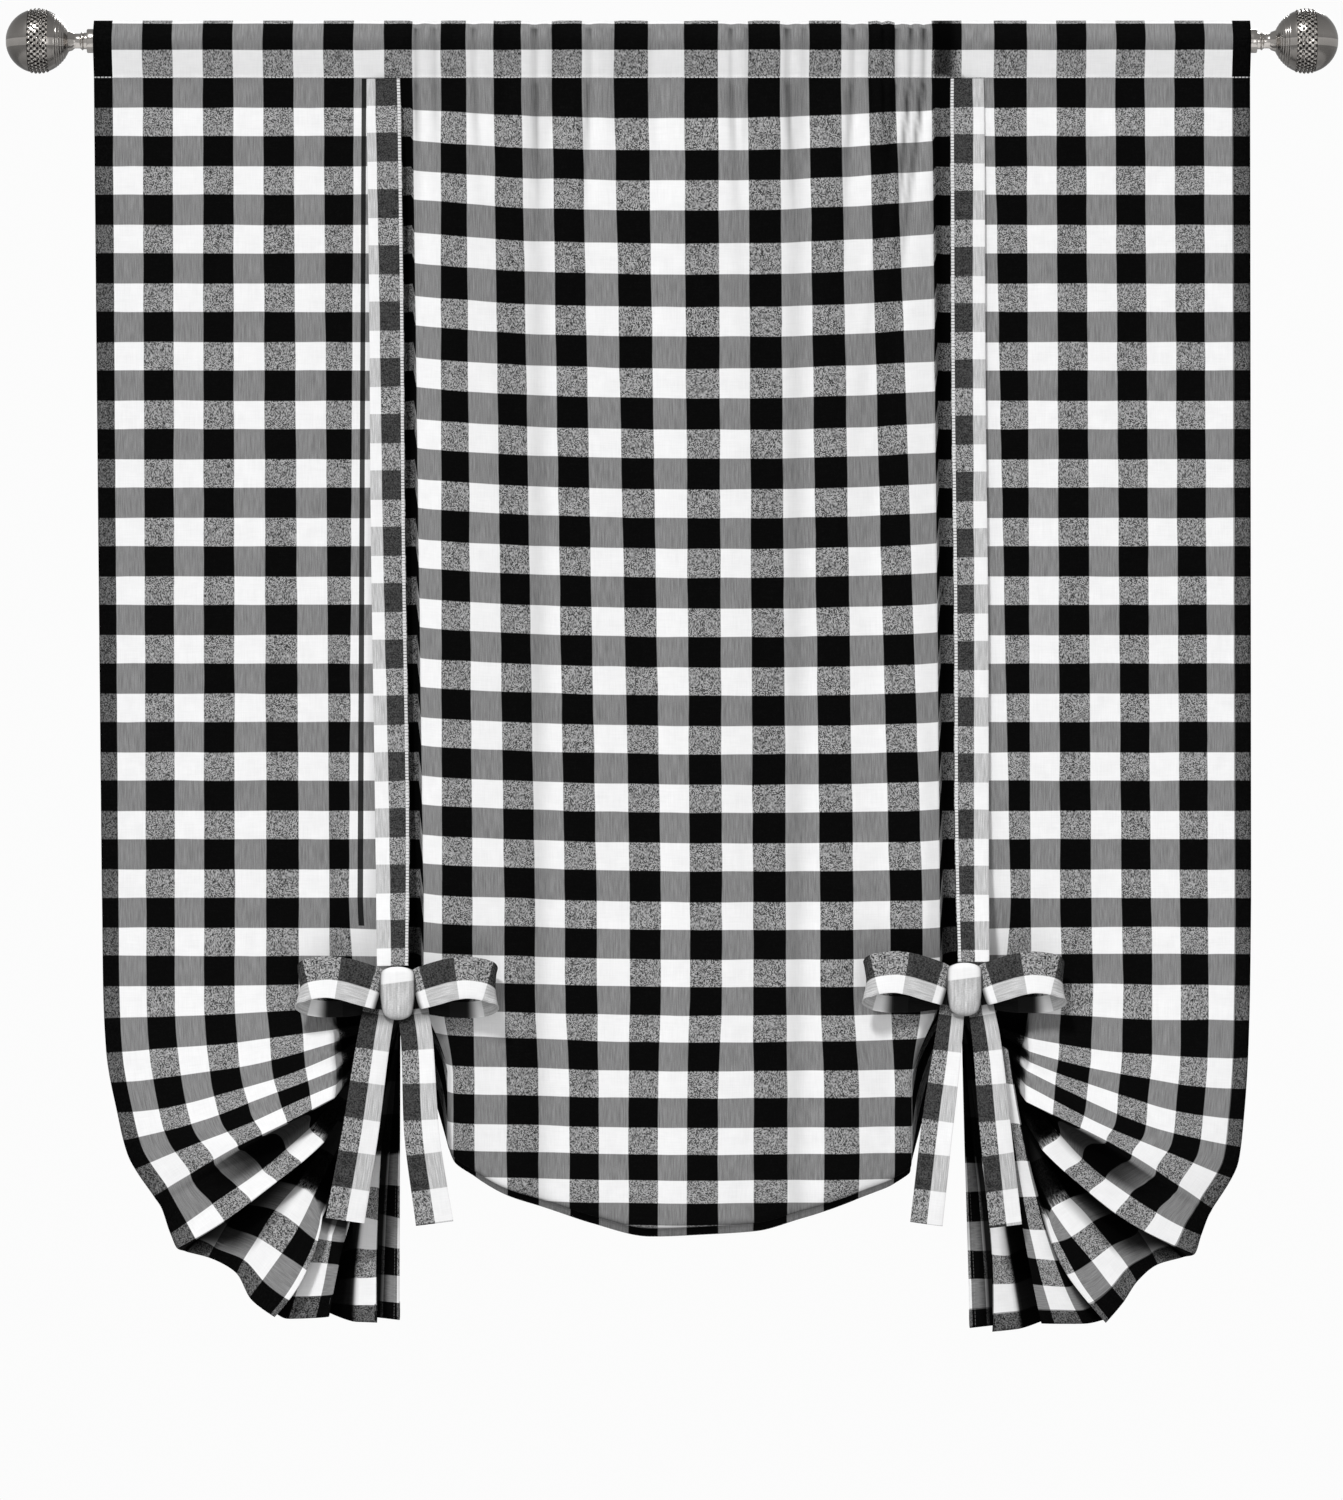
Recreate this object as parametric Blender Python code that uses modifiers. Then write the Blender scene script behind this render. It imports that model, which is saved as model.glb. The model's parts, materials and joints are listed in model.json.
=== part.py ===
# Tie-up shade on a curtain rod.
# One panel of cloth hangs from a pocket on the rod. Two pairs of ties lift its lower edge, so that the
# middle falls as a swag and each side panel gathers into a fan of folds round its bow.
#
# The origin is on the rod's axis at the middle of its length. +X runs along the rod, +Z is up, and the
# shade faces -Y, so the wall is on the +Y side. The tables are in millimetres, the rest is in metres.
import math
from bisect import bisect_right

import bmesh
import bpy
from mathutils import Vector

MM = 0.001

# Sizes that drive the part
ROD_RADIUS = 0.011
ROD_LENGTH = 1.086
CLOTH_WIDTH = 1.067
CLOTH_THICKNESS = 0.001
GAP = 0.0003
POCKET_TOP = 0.0194
POCKET_SEAM = -0.034
TIE_WIDTH = 0.032
TIE_THICKNESS = 0.0016
TIE_START = 0.001  # how far below the pocket seam the ties' top ends lie
BOW_LEVEL = -0.902
SWAG_BOTTOM = -1.105
PANEL_BACK = -0.0007  # the flat panel's place behind or in front of the rod's axis
MIDDLE_STAND = 0.007  # how far the middle panel stands in front of the side panels
WEB_SET_BACK = 0.008  # how far the cloth beside a tie lies behind the panels it joins

# Each bow's knot centre, and the outer edge of the cloth on its side
KNOT_CENTRE = {"left": (-0.252, -0.8776), "right": (0.2685, -0.874)}
HEM_SIDE = {"left": -1, "right": 1}

# The gathered half of a side panel, row by row down the cloth. Each row is a ridge, a valley or a point
# between. It runs from the side hem through a middle point to the tip of its fold, where the cloth rolls
# back into the bunch behind the knot. out is the distance from the knot towards the side, down is below
# the knot, back is towards the wall.
FAN_FIELDS = ("hem_out", "hem_down", "hem_back", "mid_out", "mid_down", "mid_back", "tip_out", "tip_down",
              "tip_back")
FAN_ROWS = {
    "left": (
        (274, -85, 0, 176, -85, 0, 65, -85, 0),
        (273, -6, -1, 176, -6, -4, 65, -8, -4),
        (270, 55, -2, 173, 47, -10, 60, 34, -12),
        (260, 110, -3, 166, 95, -17, 59, 57, -17),
        (250, 150, -4, 158, 118, -23, 57, 78, -22),
        (226, 188, -5, 144, 140, -30, 58, 96, -30),
        (219, 199, -3, 149, 153, -19, 60, 98, -8),
        (211, 222, -3, 143, 174, -17, 80, 123, -12),
        (204, 236, -8, 130, 189, -26, 68, 137, -24),
        (197, 240, 6, 156, 198, 2, 118, 158, 4),
        (176, 245, 0, 156, 212, -2, 123, 169, 6),
        (150, 259, -4, 128, 220, -9, 95, 178, -8),
        (136, 283, -8, 102, 237, -13, 77, 189, -13),
        (114, 299, -12, 83, 254, -17, 70, 207, -15),
        (117, 295, 12, 104, 242, 12, 92, 196, 12),
        (103, 302, 4, 89, 254, 0, 80, 217, 3),
        (64, 299, -6, 56, 255, -8, 50, 227, -4),
        (71, 295, 17, 61, 249, 20, 40, 165, 26),
        (40, 305, 6, 36, 232, 6, 24, 153, 13),
        (20, 305, -2, 20, 232, 0, 17, 153, 9),
        (34, 301, 24, 30, 229, 26, 22, 153, 28),
        (0, 304, 14, 0, 232, 18, 0, 153, 25),
    ),
    "right": (
        (266, -81, 0, 169, -81, 0, 63, -81, 0),
        (265, -3, -1, 170, -4, -4, 64, -5, -4),
        (263, 63, -2, 169, 60, -10, 60, 45, -12),
        (259, 120, -3, 166, 104, -17, 61, 67, -17),
        (254, 160, -4, 161, 131, -23, 57, 81, -22),
        (230, 203, -5, 150, 151, -30, 57, 103, -30),
        (226, 211, -3, 152, 166, -19, 65, 104, -8),
        (220, 227, -3, 148, 187, -17, 89, 133, -12),
        (213, 245, -8, 134, 202, -26, 72, 148, -24),
        (203, 249, 6, 158, 208, 2, 117, 167, 4),
        (180, 255, 0, 158, 220, -2, 120, 184, 6),
        (161, 270, -4, 134, 231, -9, 99, 193, -8),
        (147, 290, -8, 112, 248, -13, 80, 203, -13),
        (131, 308, -12, 94, 258, -17, 78, 214, -15),
        (133, 306, 12, 112, 248, 12, 98, 204, 12),
        (112, 310, 4, 92, 262, 0, 80, 226, 3),
        (72, 309, -6, 58, 262, -8, 48, 232, -4),
        (78, 307, 17, 62, 254, 20, 40, 168, 26),
        (52, 315, 6, 41, 240, 6, 28, 163, 13),
        (27, 317, -2, 26, 240, 0, 18, 163, 9),
        (42, 312, 24, 36, 237, 26, 24, 163, 28),
        (7, 315, 14, 5, 237, 18, 3, 163, 25),
    ),
}

# The same rows across the middle of the shade. fall runs from 0 at the bows to 1 at the swag's lower
# edge: the cloth falls in front, turns up behind itself and falls again to its bottom hem.
SWAG_FIELDS = ("fall", "back")
SWAG_ROWS = (
    (-0.545, -7), (-0.15, -8), (0.113, -8), (0.377, -7), (0.58, -6), (0.78, -5), (0.87, -4), (0.965, -1.5),
    (1.0, 3), (0.955, 7.5), (0.82, 9), (0.66, 10), (0.49, 11), (0.31, 12), (0.15, 13), (0.05, 14.5),
    (0.0, 17), (0.06, 19.5), (0.22, 20.5), (0.42, 21), (0.72, 22), (1.05, 23),
)
RISE_ABOVE_BOWS = 0.2  # the height that a fall of -1 stands for
LAST_ROW = len(SWAG_ROWS) - 1
STEPS_PER_ROW = 2

# Heights of the plain rows between the pocket seam and the first gathered row
PLAIN_HEIGHTS = (-60, -110, -190, -280, -370, -460, -550, -640, -720)
FLUTES_GROWN_AT = 0.16  # share of the plain rows' height in which the flutes grow out of the flat pocket

# The pocket: the turned-in edge behind its seam, how far that edge runs on below, and the crown over the rod
TURNED_IN = 0.0009
HEADING_TURN = 0.008
POCKET_CROWN = ((0.0016, 0.0022), (0.0, 0.0005), (-0.0016, 0.0022))  # back, and drop below the pocket's top

# Shares of the way from the root line to the side hem at which a side panel has its columns
SIDE_SHARES = (1, 0.87, 0.74, 0.61, 0.48, 0.35, 0.22, 0.1, 0.03, 0)

# Soft upright flutes across the middle panel: a place from its left to its right edge, and the depth there.
# From FADE_ROW on they lose FADE of their depth over FADE_ROWS rows.
FADE_ROW = 7
FADE_ROWS = 8
FADE = 0.6
FLUTE_FIELDS = ("place", "back")
FLUTES = (
    (0, 0), (0.07, -5), (0.15, -1), (0.235, 5), (0.33, -3), (0.44, -1), (0.5, -5), (0.6, -2),
    (0.71, 5), (0.8, -4), (0.87, 1), (0.93, -6), (1, 0),
)
MIDDLE_COLUMNS = 18

# Height of the swag's lower edge above its lowest point, over the same places
SWAG_EDGE_FIELDS = ("place", "rise")
SWAG_EDGE = ((0, 82), (0.05, 60), (0.13, 38), (0.21, 27), (0.32, 12), (0.44, 1), (0.5, 0), (0.67, 5),
             (0.77, 17), (0.87, 31), (0.95, 47), (1, 62))

# Edges of the middle panel at the pocket, at the bows and below the bows
MIDDLE_EDGES = {"left": (-0.240, -0.229, -0.207), "right": (0.2427, 0.247, 0.2215)}
# Middle of each tie at the pocket and just above its knot
TIE_LINES = {"left": (-0.266, -0.2565), "right": (0.272, 0.277)}


# Curves

def curve(places, values, at):
    """A smooth line through the values, level wherever they turn."""
    spans = [b - a for a, b in zip(places, places[1:])]
    rates = [(b - a) / s for a, b, s in zip(values, values[1:], spans)]
    slopes = [rates[0]]
    slopes += [2 * a * b / (a + b) if a * b > 0 else 0.0 for a, b in zip(rates, rates[1:])]
    slopes.append(rates[-1])
    i = min(max(bisect_right(places, at) - 1, 0), len(spans) - 1)
    t = (at - places[i]) / spans[i]
    rise = (values[i + 1] - values[i]) * t * t * (3 - 2 * t)
    return values[i] + rise + spans[i] * (slopes[i] * t * (1 - t) ** 2 - slopes[i + 1] * t * t * (1 - t))


def column_of(table, fields, name):
    """One named column of a table."""
    return [row[fields.index(name)] for row in table]


def table_value(table, fields, name, at):
    """A named column read at a row number that may fall between two rows."""
    return curve(range(len(table)), column_of(table, fields, name), at)


def blend(a, b, share):
    return a + (b - a) * share


# Shade cloth

KNOT_ROW = 2  # the first row that is caught in the bunch behind the knot
BUNCH_BELOW_KNOT = 26  # the bunch's place, and below it how far it reaches from front to back
BUNCH_DEPTH = 34
ROOT_OUT = 9  # where a root line starts, above the bunch: outward of the knot, and behind the flat panel
ROOT_BACK = 3
WEB_SHARES = (0.12, 0.3, 0.6)  # columns between a root line and the middle panel
WEB_ARCH = 0.012  # how far the cloth arches up between the bunch and the swag
TIP_SHARE = 0.22  # share of the way from the root line to the hem at which the folds have their tips
# Inside its tip each row is pulled towards a mean of its neighbours' tips: how far towards the root, how
# deep at the first and at the last row of the bunch, how many rows to each side count, and their weights
PULL_PLACE = 0.45
PULL_BACK = (10, 34)
PULL_REACH = 2
PULL_WEIGHTS = ((-1, 1), (-0.5, 2), (0, 2), (0.5, 2), (1, 1))


def root_point(side, row):
    """Where a gathered row starts, in the bunch behind the knot."""
    x, z = KNOT_CENTRE[side]
    above = max(1 - row / KNOT_ROW, 0)
    in_bunch = max(row - KNOT_ROW, 0) / (LAST_ROW - KNOT_ROW)
    down = blend(BUNCH_BELOW_KNOT, table_value(FAN_ROWS[side], FAN_FIELDS, "hem_down", 0), above)
    back = ROOT_BACK * above + BUNCH_DEPTH * in_bunch
    return Vector((x + HEM_SIDE[side] * ROOT_OUT * above * MM, back * MM, z - down * MM))


def fan_place(side, place, row):
    """The hem, middle or tip point of a row that may fall between two rows of the table."""
    x, z = KNOT_CENTRE[side]
    row = min(max(row, 0), LAST_ROW)
    out, down, back = (table_value(FAN_ROWS[side], FAN_FIELDS, f"{place}_{way}", row)
                       for way in ("out", "down", "back"))
    return Vector((x + HEM_SIDE[side] * out * MM, back * MM, z - down * MM))


def pull_point(side, row):
    """The point inside a fold's tip towards which the row is drawn, where the folds have almost died out."""
    reach = min(PULL_REACH, row)
    near = [fan_place(side, "tip", row + step * reach) * weight for step, weight in PULL_WEIGHTS]
    mean = sum(near, Vector()) / sum(weight for _, weight in PULL_WEIGHTS)
    pull = mean.lerp(root_point(side, row), PULL_PLACE)
    in_bunch = max(row - KNOT_ROW, 0) / (LAST_ROW - KNOT_ROW)
    pull.y = blend(*PULL_BACK, in_bunch) * min(row / KNOT_ROW, 1) * MM
    return pull


def fan_point(side, row, share):
    """A point of a gathered side panel, a share of the way from the root to the side hem."""
    tip = fan_place(side, "tip", row)
    if share >= TIP_SHARE:
        q = (share - TIP_SHARE) / (1 - TIP_SHARE)
        middle, hem = fan_place(side, "mid", row), fan_place(side, "hem", row)
        inner, centre, outer = (1 - q) * (1 - 2 * q), 4 * q * (1 - q), q * (2 * q - 1)
        return tip * inner + middle * centre + hem * outer
    t = 1 - share / TIP_SHARE
    return tip * (1 - t) ** 2 + pull_point(side, row) * 2 * t * (1 - t) + root_point(side, row) * t ** 2


def flute(place):
    places, depths = (column_of(FLUTES, FLUTE_FIELDS, name) for name in FLUTE_FIELDS)
    return curve(places, depths, place) * MM


def swag_edge(place):
    """Height of the swag's lower edge."""
    places = column_of(SWAG_EDGE, SWAG_EDGE_FIELDS, "place")
    return SWAG_BOTTOM + curve(places, column_of(SWAG_EDGE, SWAG_EDGE_FIELDS, "rise"), place) * MM


def middle_edge(side, row):
    """The middle panel's edge, which steps inward as the panel passes under its bow."""
    _, at_bow, below = MIDDLE_EDGES[side]
    return blend(at_bow, below, min(max((row - 1) / 2, 0), 1))


def swag_point(place, row):
    """A point of the middle panel from the first gathered row down."""
    fall = table_value(SWAG_ROWS, SWAG_FIELDS, "fall", row)
    back = table_value(SWAG_ROWS, SWAG_FIELDS, "back", row) * MM
    drop = BOW_LEVEL - swag_edge(place) if fall > 0 else RISE_ABOVE_BOWS
    depth = 1 - FADE * min(max((row - FADE_ROW) / FADE_ROWS, 0), 1)
    x = blend(middle_edge("left", row), middle_edge("right", row), place)
    return Vector((x, back + flute(place) * depth, BOW_LEVEL - fall * drop))


def set_back(share):
    """How far a point between a root line and the middle panel lies behind the two."""
    return WEB_SET_BACK * math.sin(math.pi * share)


def web_point(side, row, share):
    """A point of the set-back strip between a root line and the middle panel."""
    place = 0 if side == "left" else 1
    caught = min(row / KNOT_ROW, 1)
    arch = WEB_ARCH * math.sin(math.pi * share) * caught
    straight = root_point(side, row).lerp(swag_point(place, row), share)
    return straight + Vector((0, set_back(share) * (1 - caught), arch))


def gathered_row(row):
    """All the points of one row of the gathered half, from the left hem to the right hem."""
    sides = {side: [fan_point(side, row, share) for share in SIDE_SHARES]
             + [web_point(side, row, share) for share in WEB_SHARES] for side in HEM_SIDE}
    middle = [swag_point(i / MIDDLE_COLUMNS, row) for i in range(MIDDLE_COLUMNS + 1)]
    return sides["left"] + middle + sides["right"][::-1]


def plain_side(side, height, back, lift, grown):
    """One side of a plain row, from its hem past its tie to the middle panel."""
    root = blend(TIE_LINES[side][0], root_point(side, 0).x, lift)
    edge = blend(*MIDDLE_EDGES[side][:2], lift)
    points = []
    for share in SIDE_SHARES:
        at_seam = blend(TIE_LINES[side][0], HEM_SIDE[side] * CLOTH_WIDTH / 2, share)
        low = fan_point(side, 0, share)
        points.append(Vector((blend(at_seam, low.x, lift), back + low.y * lift, height)))
    for share in WEB_SHARES:
        dip = (set_back(share) - MIDDLE_STAND * share) * grown
        points.append(Vector((blend(root, edge, share), back + dip, height)))
    return points


def plain_row(height, back, lift):
    """The points of one row of the flat half. lift runs from 0 at the pocket to 1 at the gathered rows."""
    grown = min(lift / FLUTES_GROWN_AT, 1)
    left, right = (blend(*MIDDLE_EDGES[side][:2], lift) for side in HEM_SIDE)
    middle = []
    for i in range(MIDDLE_COLUMNS + 1):
        place = i / MIDDLE_COLUMNS
        dip = (flute(place) - MIDDLE_STAND) * grown
        middle.append(Vector((blend(left, right, place), back + dip, height)))
    sides = [plain_side(side, height, back, lift, grown) for side in HEM_SIDE]
    return sides[0] + middle + sides[1][::-1]


def pocket_section():
    """The pocket's section from the back of its seam over the rod to its front, as (back, height) pairs."""
    clear = (ROD_RADIUS + GAP + CLOTH_THICKNESS / 2) / math.cos(math.radians(15))
    upper = math.asin(clear / POCKET_TOP)
    lower = math.asin(clear / -POCKET_SEAM)
    arc = [(clear * math.cos(a), clear * math.sin(a)) for a in (-lower, (upper - lower) / 2, upper)]
    under = [(TURNED_IN, POCKET_SEAM - HEADING_TURN), (TURNED_IN, POCKET_SEAM)]
    crown = [(out, POCKET_TOP - drop) for out, drop in POCKET_CROWN]
    front = [(-back, height) for back, height in reversed(arc)]
    return under + arc + crown + front + [(PANEL_BACK, POCKET_SEAM)]


def cloth_rows():
    rows = [plain_row(height, back, 0) for back, height in pocket_section()]
    first_height = gathered_row(0)[0].z
    for height in PLAIN_HEIGHTS:
        lift = (POCKET_SEAM - height * MM) / (POCKET_SEAM - first_height)
        rows.append(plain_row(height * MM, PANEL_BACK, lift))
    rows += [gathered_row(step / STEPS_PER_ROW) for step in range(LAST_ROW * STEPS_PER_ROW + 1)]
    return rows


# Making objects

def clear_scene():
    for thing in list(bpy.data.objects):
        bpy.data.objects.remove(thing, do_unlink=True)


def make_material(name, colour, roughness, metallic=0.0):
    material = bpy.data.materials.new(name)
    material.use_nodes = True
    shader = material.node_tree.nodes["Principled BSDF"]
    shader.inputs["Base Color"].default_value = (*colour, 1)
    shader.inputs["Roughness"].default_value = roughness
    shader.inputs["Metallic"].default_value = metallic
    return material


def add_object(name, mesh, material, collection):
    thing = bpy.data.objects.new(name, mesh)
    collection.objects.link(thing)
    mesh.materials.append(material)
    mesh.shade_smooth()
    return thing


def sheet_object(name, rows, thickness, material, collection):
    """A grid laid over rows of points and thickened evenly to both sides."""
    grid = bmesh.new()
    bmesh.ops.create_grid(grid, x_segments=len(rows[0]) - 1, y_segments=len(rows) - 1, size=1)
    for vertex, point in zip(grid.verts, (point for row in rows for point in row)):
        vertex.co = point
    mesh = bpy.data.meshes.new(name)
    grid.to_mesh(mesh)
    grid.free()
    thing = add_object(name, mesh, material, collection)
    solid = thing.modifiers.new("thickness", "SOLIDIFY")
    solid.thickness = thickness
    solid.offset = 0
    return thing


def ribbon(name, path, across, material, collection):
    """A flat tie along a path. across gives the width's direction and size at each point of the path."""
    rows = [[point - width / 2, point, point + width / 2] for point, width in zip(path, across)]
    return sheet_object(name, rows, TIE_THICKNESS, material, collection)


def turned(name, profile, facing, material, collection):
    """A profile of (radius, height) pairs from the top down, turned round the rod's axis."""
    mesh = bpy.data.meshes.new(name)
    mesh.from_pydata([(r, 0, z) for r, z in profile], [(i, i + 1) for i in range(len(profile) - 1)], [])
    thing = add_object(name, mesh, material, collection)
    thing.rotation_euler = (0, facing * math.pi / 2, 0)
    screw = thing.modifiers.new("turning", "SCREW")
    screw.steps = screw.render_steps = 28
    screw.use_merge_vertices = True
    screw.merge_threshold = 0.00001
    return thing


# Rod and finials

NECK_RADIUS = 0.0068
NECK_LENGTH = 0.0115
COLLAR_RADIUS = 0.0085
COLLAR_LENGTH = 0.001
BALL_RADIUS = 0.0295
BALL_LENGTH = 0.060
BALL_STEPS = 12
BALL_TAPER = 0.10  # how much slimmer the ball is near its neck
SEAT_LENGTH = 0.002  # half the length of the ball's seat on the neck
ROUNDED = 0.0015
ROD_EDGE = 0.0006


def finial_profile():
    """From the far end of the ball down to the neck that meets the rod."""
    profile = [(0, NECK_LENGTH + BALL_LENGTH)]
    for i in range(1, BALL_STEPS):
        angle = math.pi * i / BALL_STEPS
        radius = BALL_RADIUS * math.sin(angle) * (1 - BALL_TAPER * max(0, -math.cos(angle)) ** 2)
        height = NECK_LENGTH + BALL_LENGTH / 2 * (1 + math.cos(angle))
        if height > NECK_LENGTH + SEAT_LENGTH + COLLAR_LENGTH:
            profile.append((radius, height))
    profile += [(COLLAR_RADIUS, NECK_LENGTH + SEAT_LENGTH), (COLLAR_RADIUS, NECK_LENGTH - SEAT_LENGTH)]
    profile += [(NECK_RADIUS, NECK_LENGTH - SEAT_LENGTH - ROUNDED), (NECK_RADIUS, COLLAR_LENGTH + ROUNDED)]
    return profile + [(COLLAR_RADIUS, COLLAR_LENGTH), (COLLAR_RADIUS, 0), (0, 0)]


def make_rod(material, collection):
    bpy.ops.mesh.primitive_cylinder_add(vertices=32, radius=ROD_RADIUS, depth=ROD_LENGTH)
    rod = bpy.context.object
    rod.name = "rod"
    rod.rotation_euler = (0, math.pi / 2, 0)
    rod.data.materials.append(material)
    for owner in list(rod.users_collection):
        owner.objects.unlink(rod)
    collection.objects.link(rod)
    bevel = rod.modifiers.new("edges", "BEVEL")
    bevel.width = ROD_EDGE
    bevel.segments = 1
    rod.data.shade_smooth()
    rod.data.set_sharp_from_angle(angle=math.radians(40))


def make_finials(material, collection):
    for side, outward in HEM_SIDE.items():
        finial = turned(f"finial_{side}", finial_profile(), outward, material, collection)
        finial.location = (outward * (ROD_LENGTH / 2 + GAP), 0, 0)


# Ties and bows

KNOT_FRONT = -0.030  # how far forward the knots' middles stand
KNOT_SIZE = (0.0329, 0.0165, 0.049)
KNOT_WAIST_WIDE = 0.55  # how much of its width and of its depth a knot loses towards its top and bottom
KNOT_WAIST_DEEP = 0.4

# A bow loop's path outward from the knot and back to it: out, back and up from the knot's middle, and the
# cloth's width there. Its face looks forward, so the width stands almost upright.
LOOP_FIELDS = ("out", "back", "up", "width")
LOOP_PATH = (
    (16.8, 0, 1, 33), (24, -3, 5, 35), (36, -6, 9.5, 37), (50, -8, 14, 38), (64, -8.5, 15.8, 38),
    (77, -7, 14.5, 38), (85.5, -3, 11.5, 38), (89, 3, 7, 38), (86.5, 8.5, 1.5, 37), (78, 11.5, -3, 36),
    (64, 12, -5, 35), (48, 10, -5, 34), (32, 7, -4, 32), (16.8, 4, -3, 30),
)
LOOP_LEAN = math.radians(82)  # from lying flat to standing upright

# The tails: how far out from the knot they hang just below it, at their middle and at their end, and how
# long they are. Positive is away from the middle of the shade.
TAIL_FIELDS = ("near_out", "middle_out", "end_out", "length")
TAILS = {
    "left_outer": (20, 35, 52, 190),
    "left_inner": (-17, -27, -35, 196),
    "right_outer": (21, 25, 39, 204),
    "right_inner": (-18.5, -20, -35, 198),
}
TAIL_PLACES = (0, 0.12, 0.5, 1)  # shares of the length that the columns above, after the root, belong to
TAIL_ROOT_OUT = 9.2  # the tails' middles where they leave the knot
TAIL_PINCH = 0.55  # the share of the full width that a tail has there
TAIL_SPREAD = 4  # how fast it gains that width
TAIL_BELLY = 0.006  # how far its middle and its end hang forward of the knot
TAIL_LEAN = 0.002
TAIL_STEPS = 8
TAIL_CROWDING = 1.4  # steps crowd towards the knot, where the tail bends most


# A front tie from the pocket seam to the knot: shares of the way down, and of the full width there
FRONT_TIE = (
    (0, 1), (0.04, 1), (0.2, 1), (0.4, 1), (0.6, 1), (0.8, 0.98), (0.92, 0.95), (0.97, 0.9), (1, 0.86),
)
FRONT_TIE_BACK = (-0.0024, -0.0046)  # its place behind the rod's axis at the seam, and where it hangs clear
BACK_TIE_PLACES = (0, 0.04, 0.2, 0.4, 0.6, 0.8, 0.93, 1)
BACK_TIE_BACK = (0.0026, 0.014, 0.032)  # at the seam, where it hangs clear, and at the bunch
BACK_TIE_END = -0.022  # below the knot's centre
BACK_TIE_NARROW = 0.9
TIE_CLEAR_AT = 0.2  # shares of the way down at which a tie hangs clear, and at which it bends to its knot
TIE_BENDS_AT = 0.8


def tie_back(places, share):
    """A tie's place from front to back: it leaves the seam, hangs clear and then reaches its knot."""
    seam, clear, knot = places
    bend = max(0, (share - TIE_BENDS_AT) / (1 - TIE_BENDS_AT))
    return blend(seam, clear, min(share / TIE_CLEAR_AT, 1)) + (knot - clear) * bend ** 2


def make_front_tie(side, material, collection):
    """Hangs from the pocket seam, just in front of the cloth, and comes forward to the knot."""
    low = KNOT_CENTRE[side][1] + KNOT_SIZE[2] / 2 + 2 * GAP
    path, across = [], []
    for share, width in FRONT_TIE:
        back = tie_back((*FRONT_TIE_BACK, KNOT_FRONT), share)
        height = blend(POCKET_SEAM - TIE_START, low, share)
        path.append(Vector((blend(*TIE_LINES[side], share), back, height)))
        across.append(Vector((TIE_WIDTH * width, 0, 0)))
    ribbon(f"front_tie_{side}", path, across, material, collection)


def make_back_tie(side, material, collection):
    """Hangs behind the cloth from the back of the pocket seam to the bunch behind the knot."""
    low = KNOT_CENTRE[side][1] + BACK_TIE_END
    path = []
    for share in BACK_TIE_PLACES:
        back = tie_back(BACK_TIE_BACK, share)
        height = blend(POCKET_SEAM - TIE_START, low, share)
        path.append(Vector((blend(*TIE_LINES[side], share), back, height)))
    width = Vector((TIE_WIDTH * BACK_TIE_NARROW, 0, 0))
    ribbon(f"back_tie_{side}", path, [width] * len(path), material, collection)


def make_knot(side, material, collection):
    """A rounded wrap, fuller across its middle than at its top and bottom."""
    x, z = KNOT_CENTRE[side]
    wide, deep, tall = KNOT_SIZE
    block = bmesh.new()
    bmesh.ops.create_cube(block, size=1)
    bmesh.ops.subdivide_edges(block, edges=block.edges[:], cuts=2, use_grid_fill=True)
    for vertex in block.verts:
        level = vertex.co.z
        vertex.co.x *= wide * (1 - KNOT_WAIST_WIDE * level ** 2)
        vertex.co.y *= deep * (1 - KNOT_WAIST_DEEP * level ** 2)
        vertex.co.z *= tall
    mesh = bpy.data.meshes.new(f"knot_{side}")
    block.to_mesh(mesh)
    block.free()
    knot = add_object(f"knot_{side}", mesh, material, collection)
    knot.location = (x, KNOT_FRONT, z)
    soft = knot.modifiers.new("rounding", "SUBSURF")
    soft.levels = soft.render_levels = 1


def make_loop(side, where, material, collection):
    """A loop of tie cloth that leaves the knot in front and comes back to it behind and a little lower."""
    x, z = KNOT_CENTRE[side]
    outward = HEM_SIDE[side] * (1 if where == "outer" else -1)
    leaning = Vector((0, math.cos(LOOP_LEAN), math.sin(LOOP_LEAN))) * outward * MM
    path, across = [], []
    for out, back, up, width in LOOP_PATH:
        path.append(Vector((x + outward * out * MM, KNOT_FRONT + back * MM, z + up * MM)))
        across.append(leaning * width)
    ribbon(f"loop_{side}_{where}", path, across, material, collection)


def make_tail(name, material, collection):
    """A free end that spreads from under the knot and swings a little aside."""
    side = name.split("_")[0]
    x, z = KNOT_CENTRE[side]
    near_out, middle_out, end_out, length = TAILS[name]
    outs = (math.copysign(TAIL_ROOT_OUT, near_out), near_out, middle_out, end_out)
    top = z - KNOT_SIZE[2] / 2 - GAP

    def path_point(share):
        out = curve(TAIL_PLACES, outs, share)
        forward = KNOT_FRONT - TAIL_BELLY * math.sin(math.pi * share) - TAIL_LEAN * share
        return Vector((x + HEM_SIDE[side] * out * MM, forward, top - share * length * MM))

    path, across = [], []
    for step in range(TAIL_STEPS + 1):
        share = (step / TAIL_STEPS) ** TAIL_CROWDING
        path.append(path_point(share))
        along = path_point(min(share + 0.05, 1)) - path_point(min(share, 0.95))
        flat = Vector((-along.z, 0, along.x)).normalized() if step else Vector((1, 0, 0))
        across.append(flat * TIE_WIDTH * min(TAIL_PINCH + share * TAIL_SPREAD, 1))
    ribbon(f"tail_{name}", path, across, material, collection)


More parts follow.
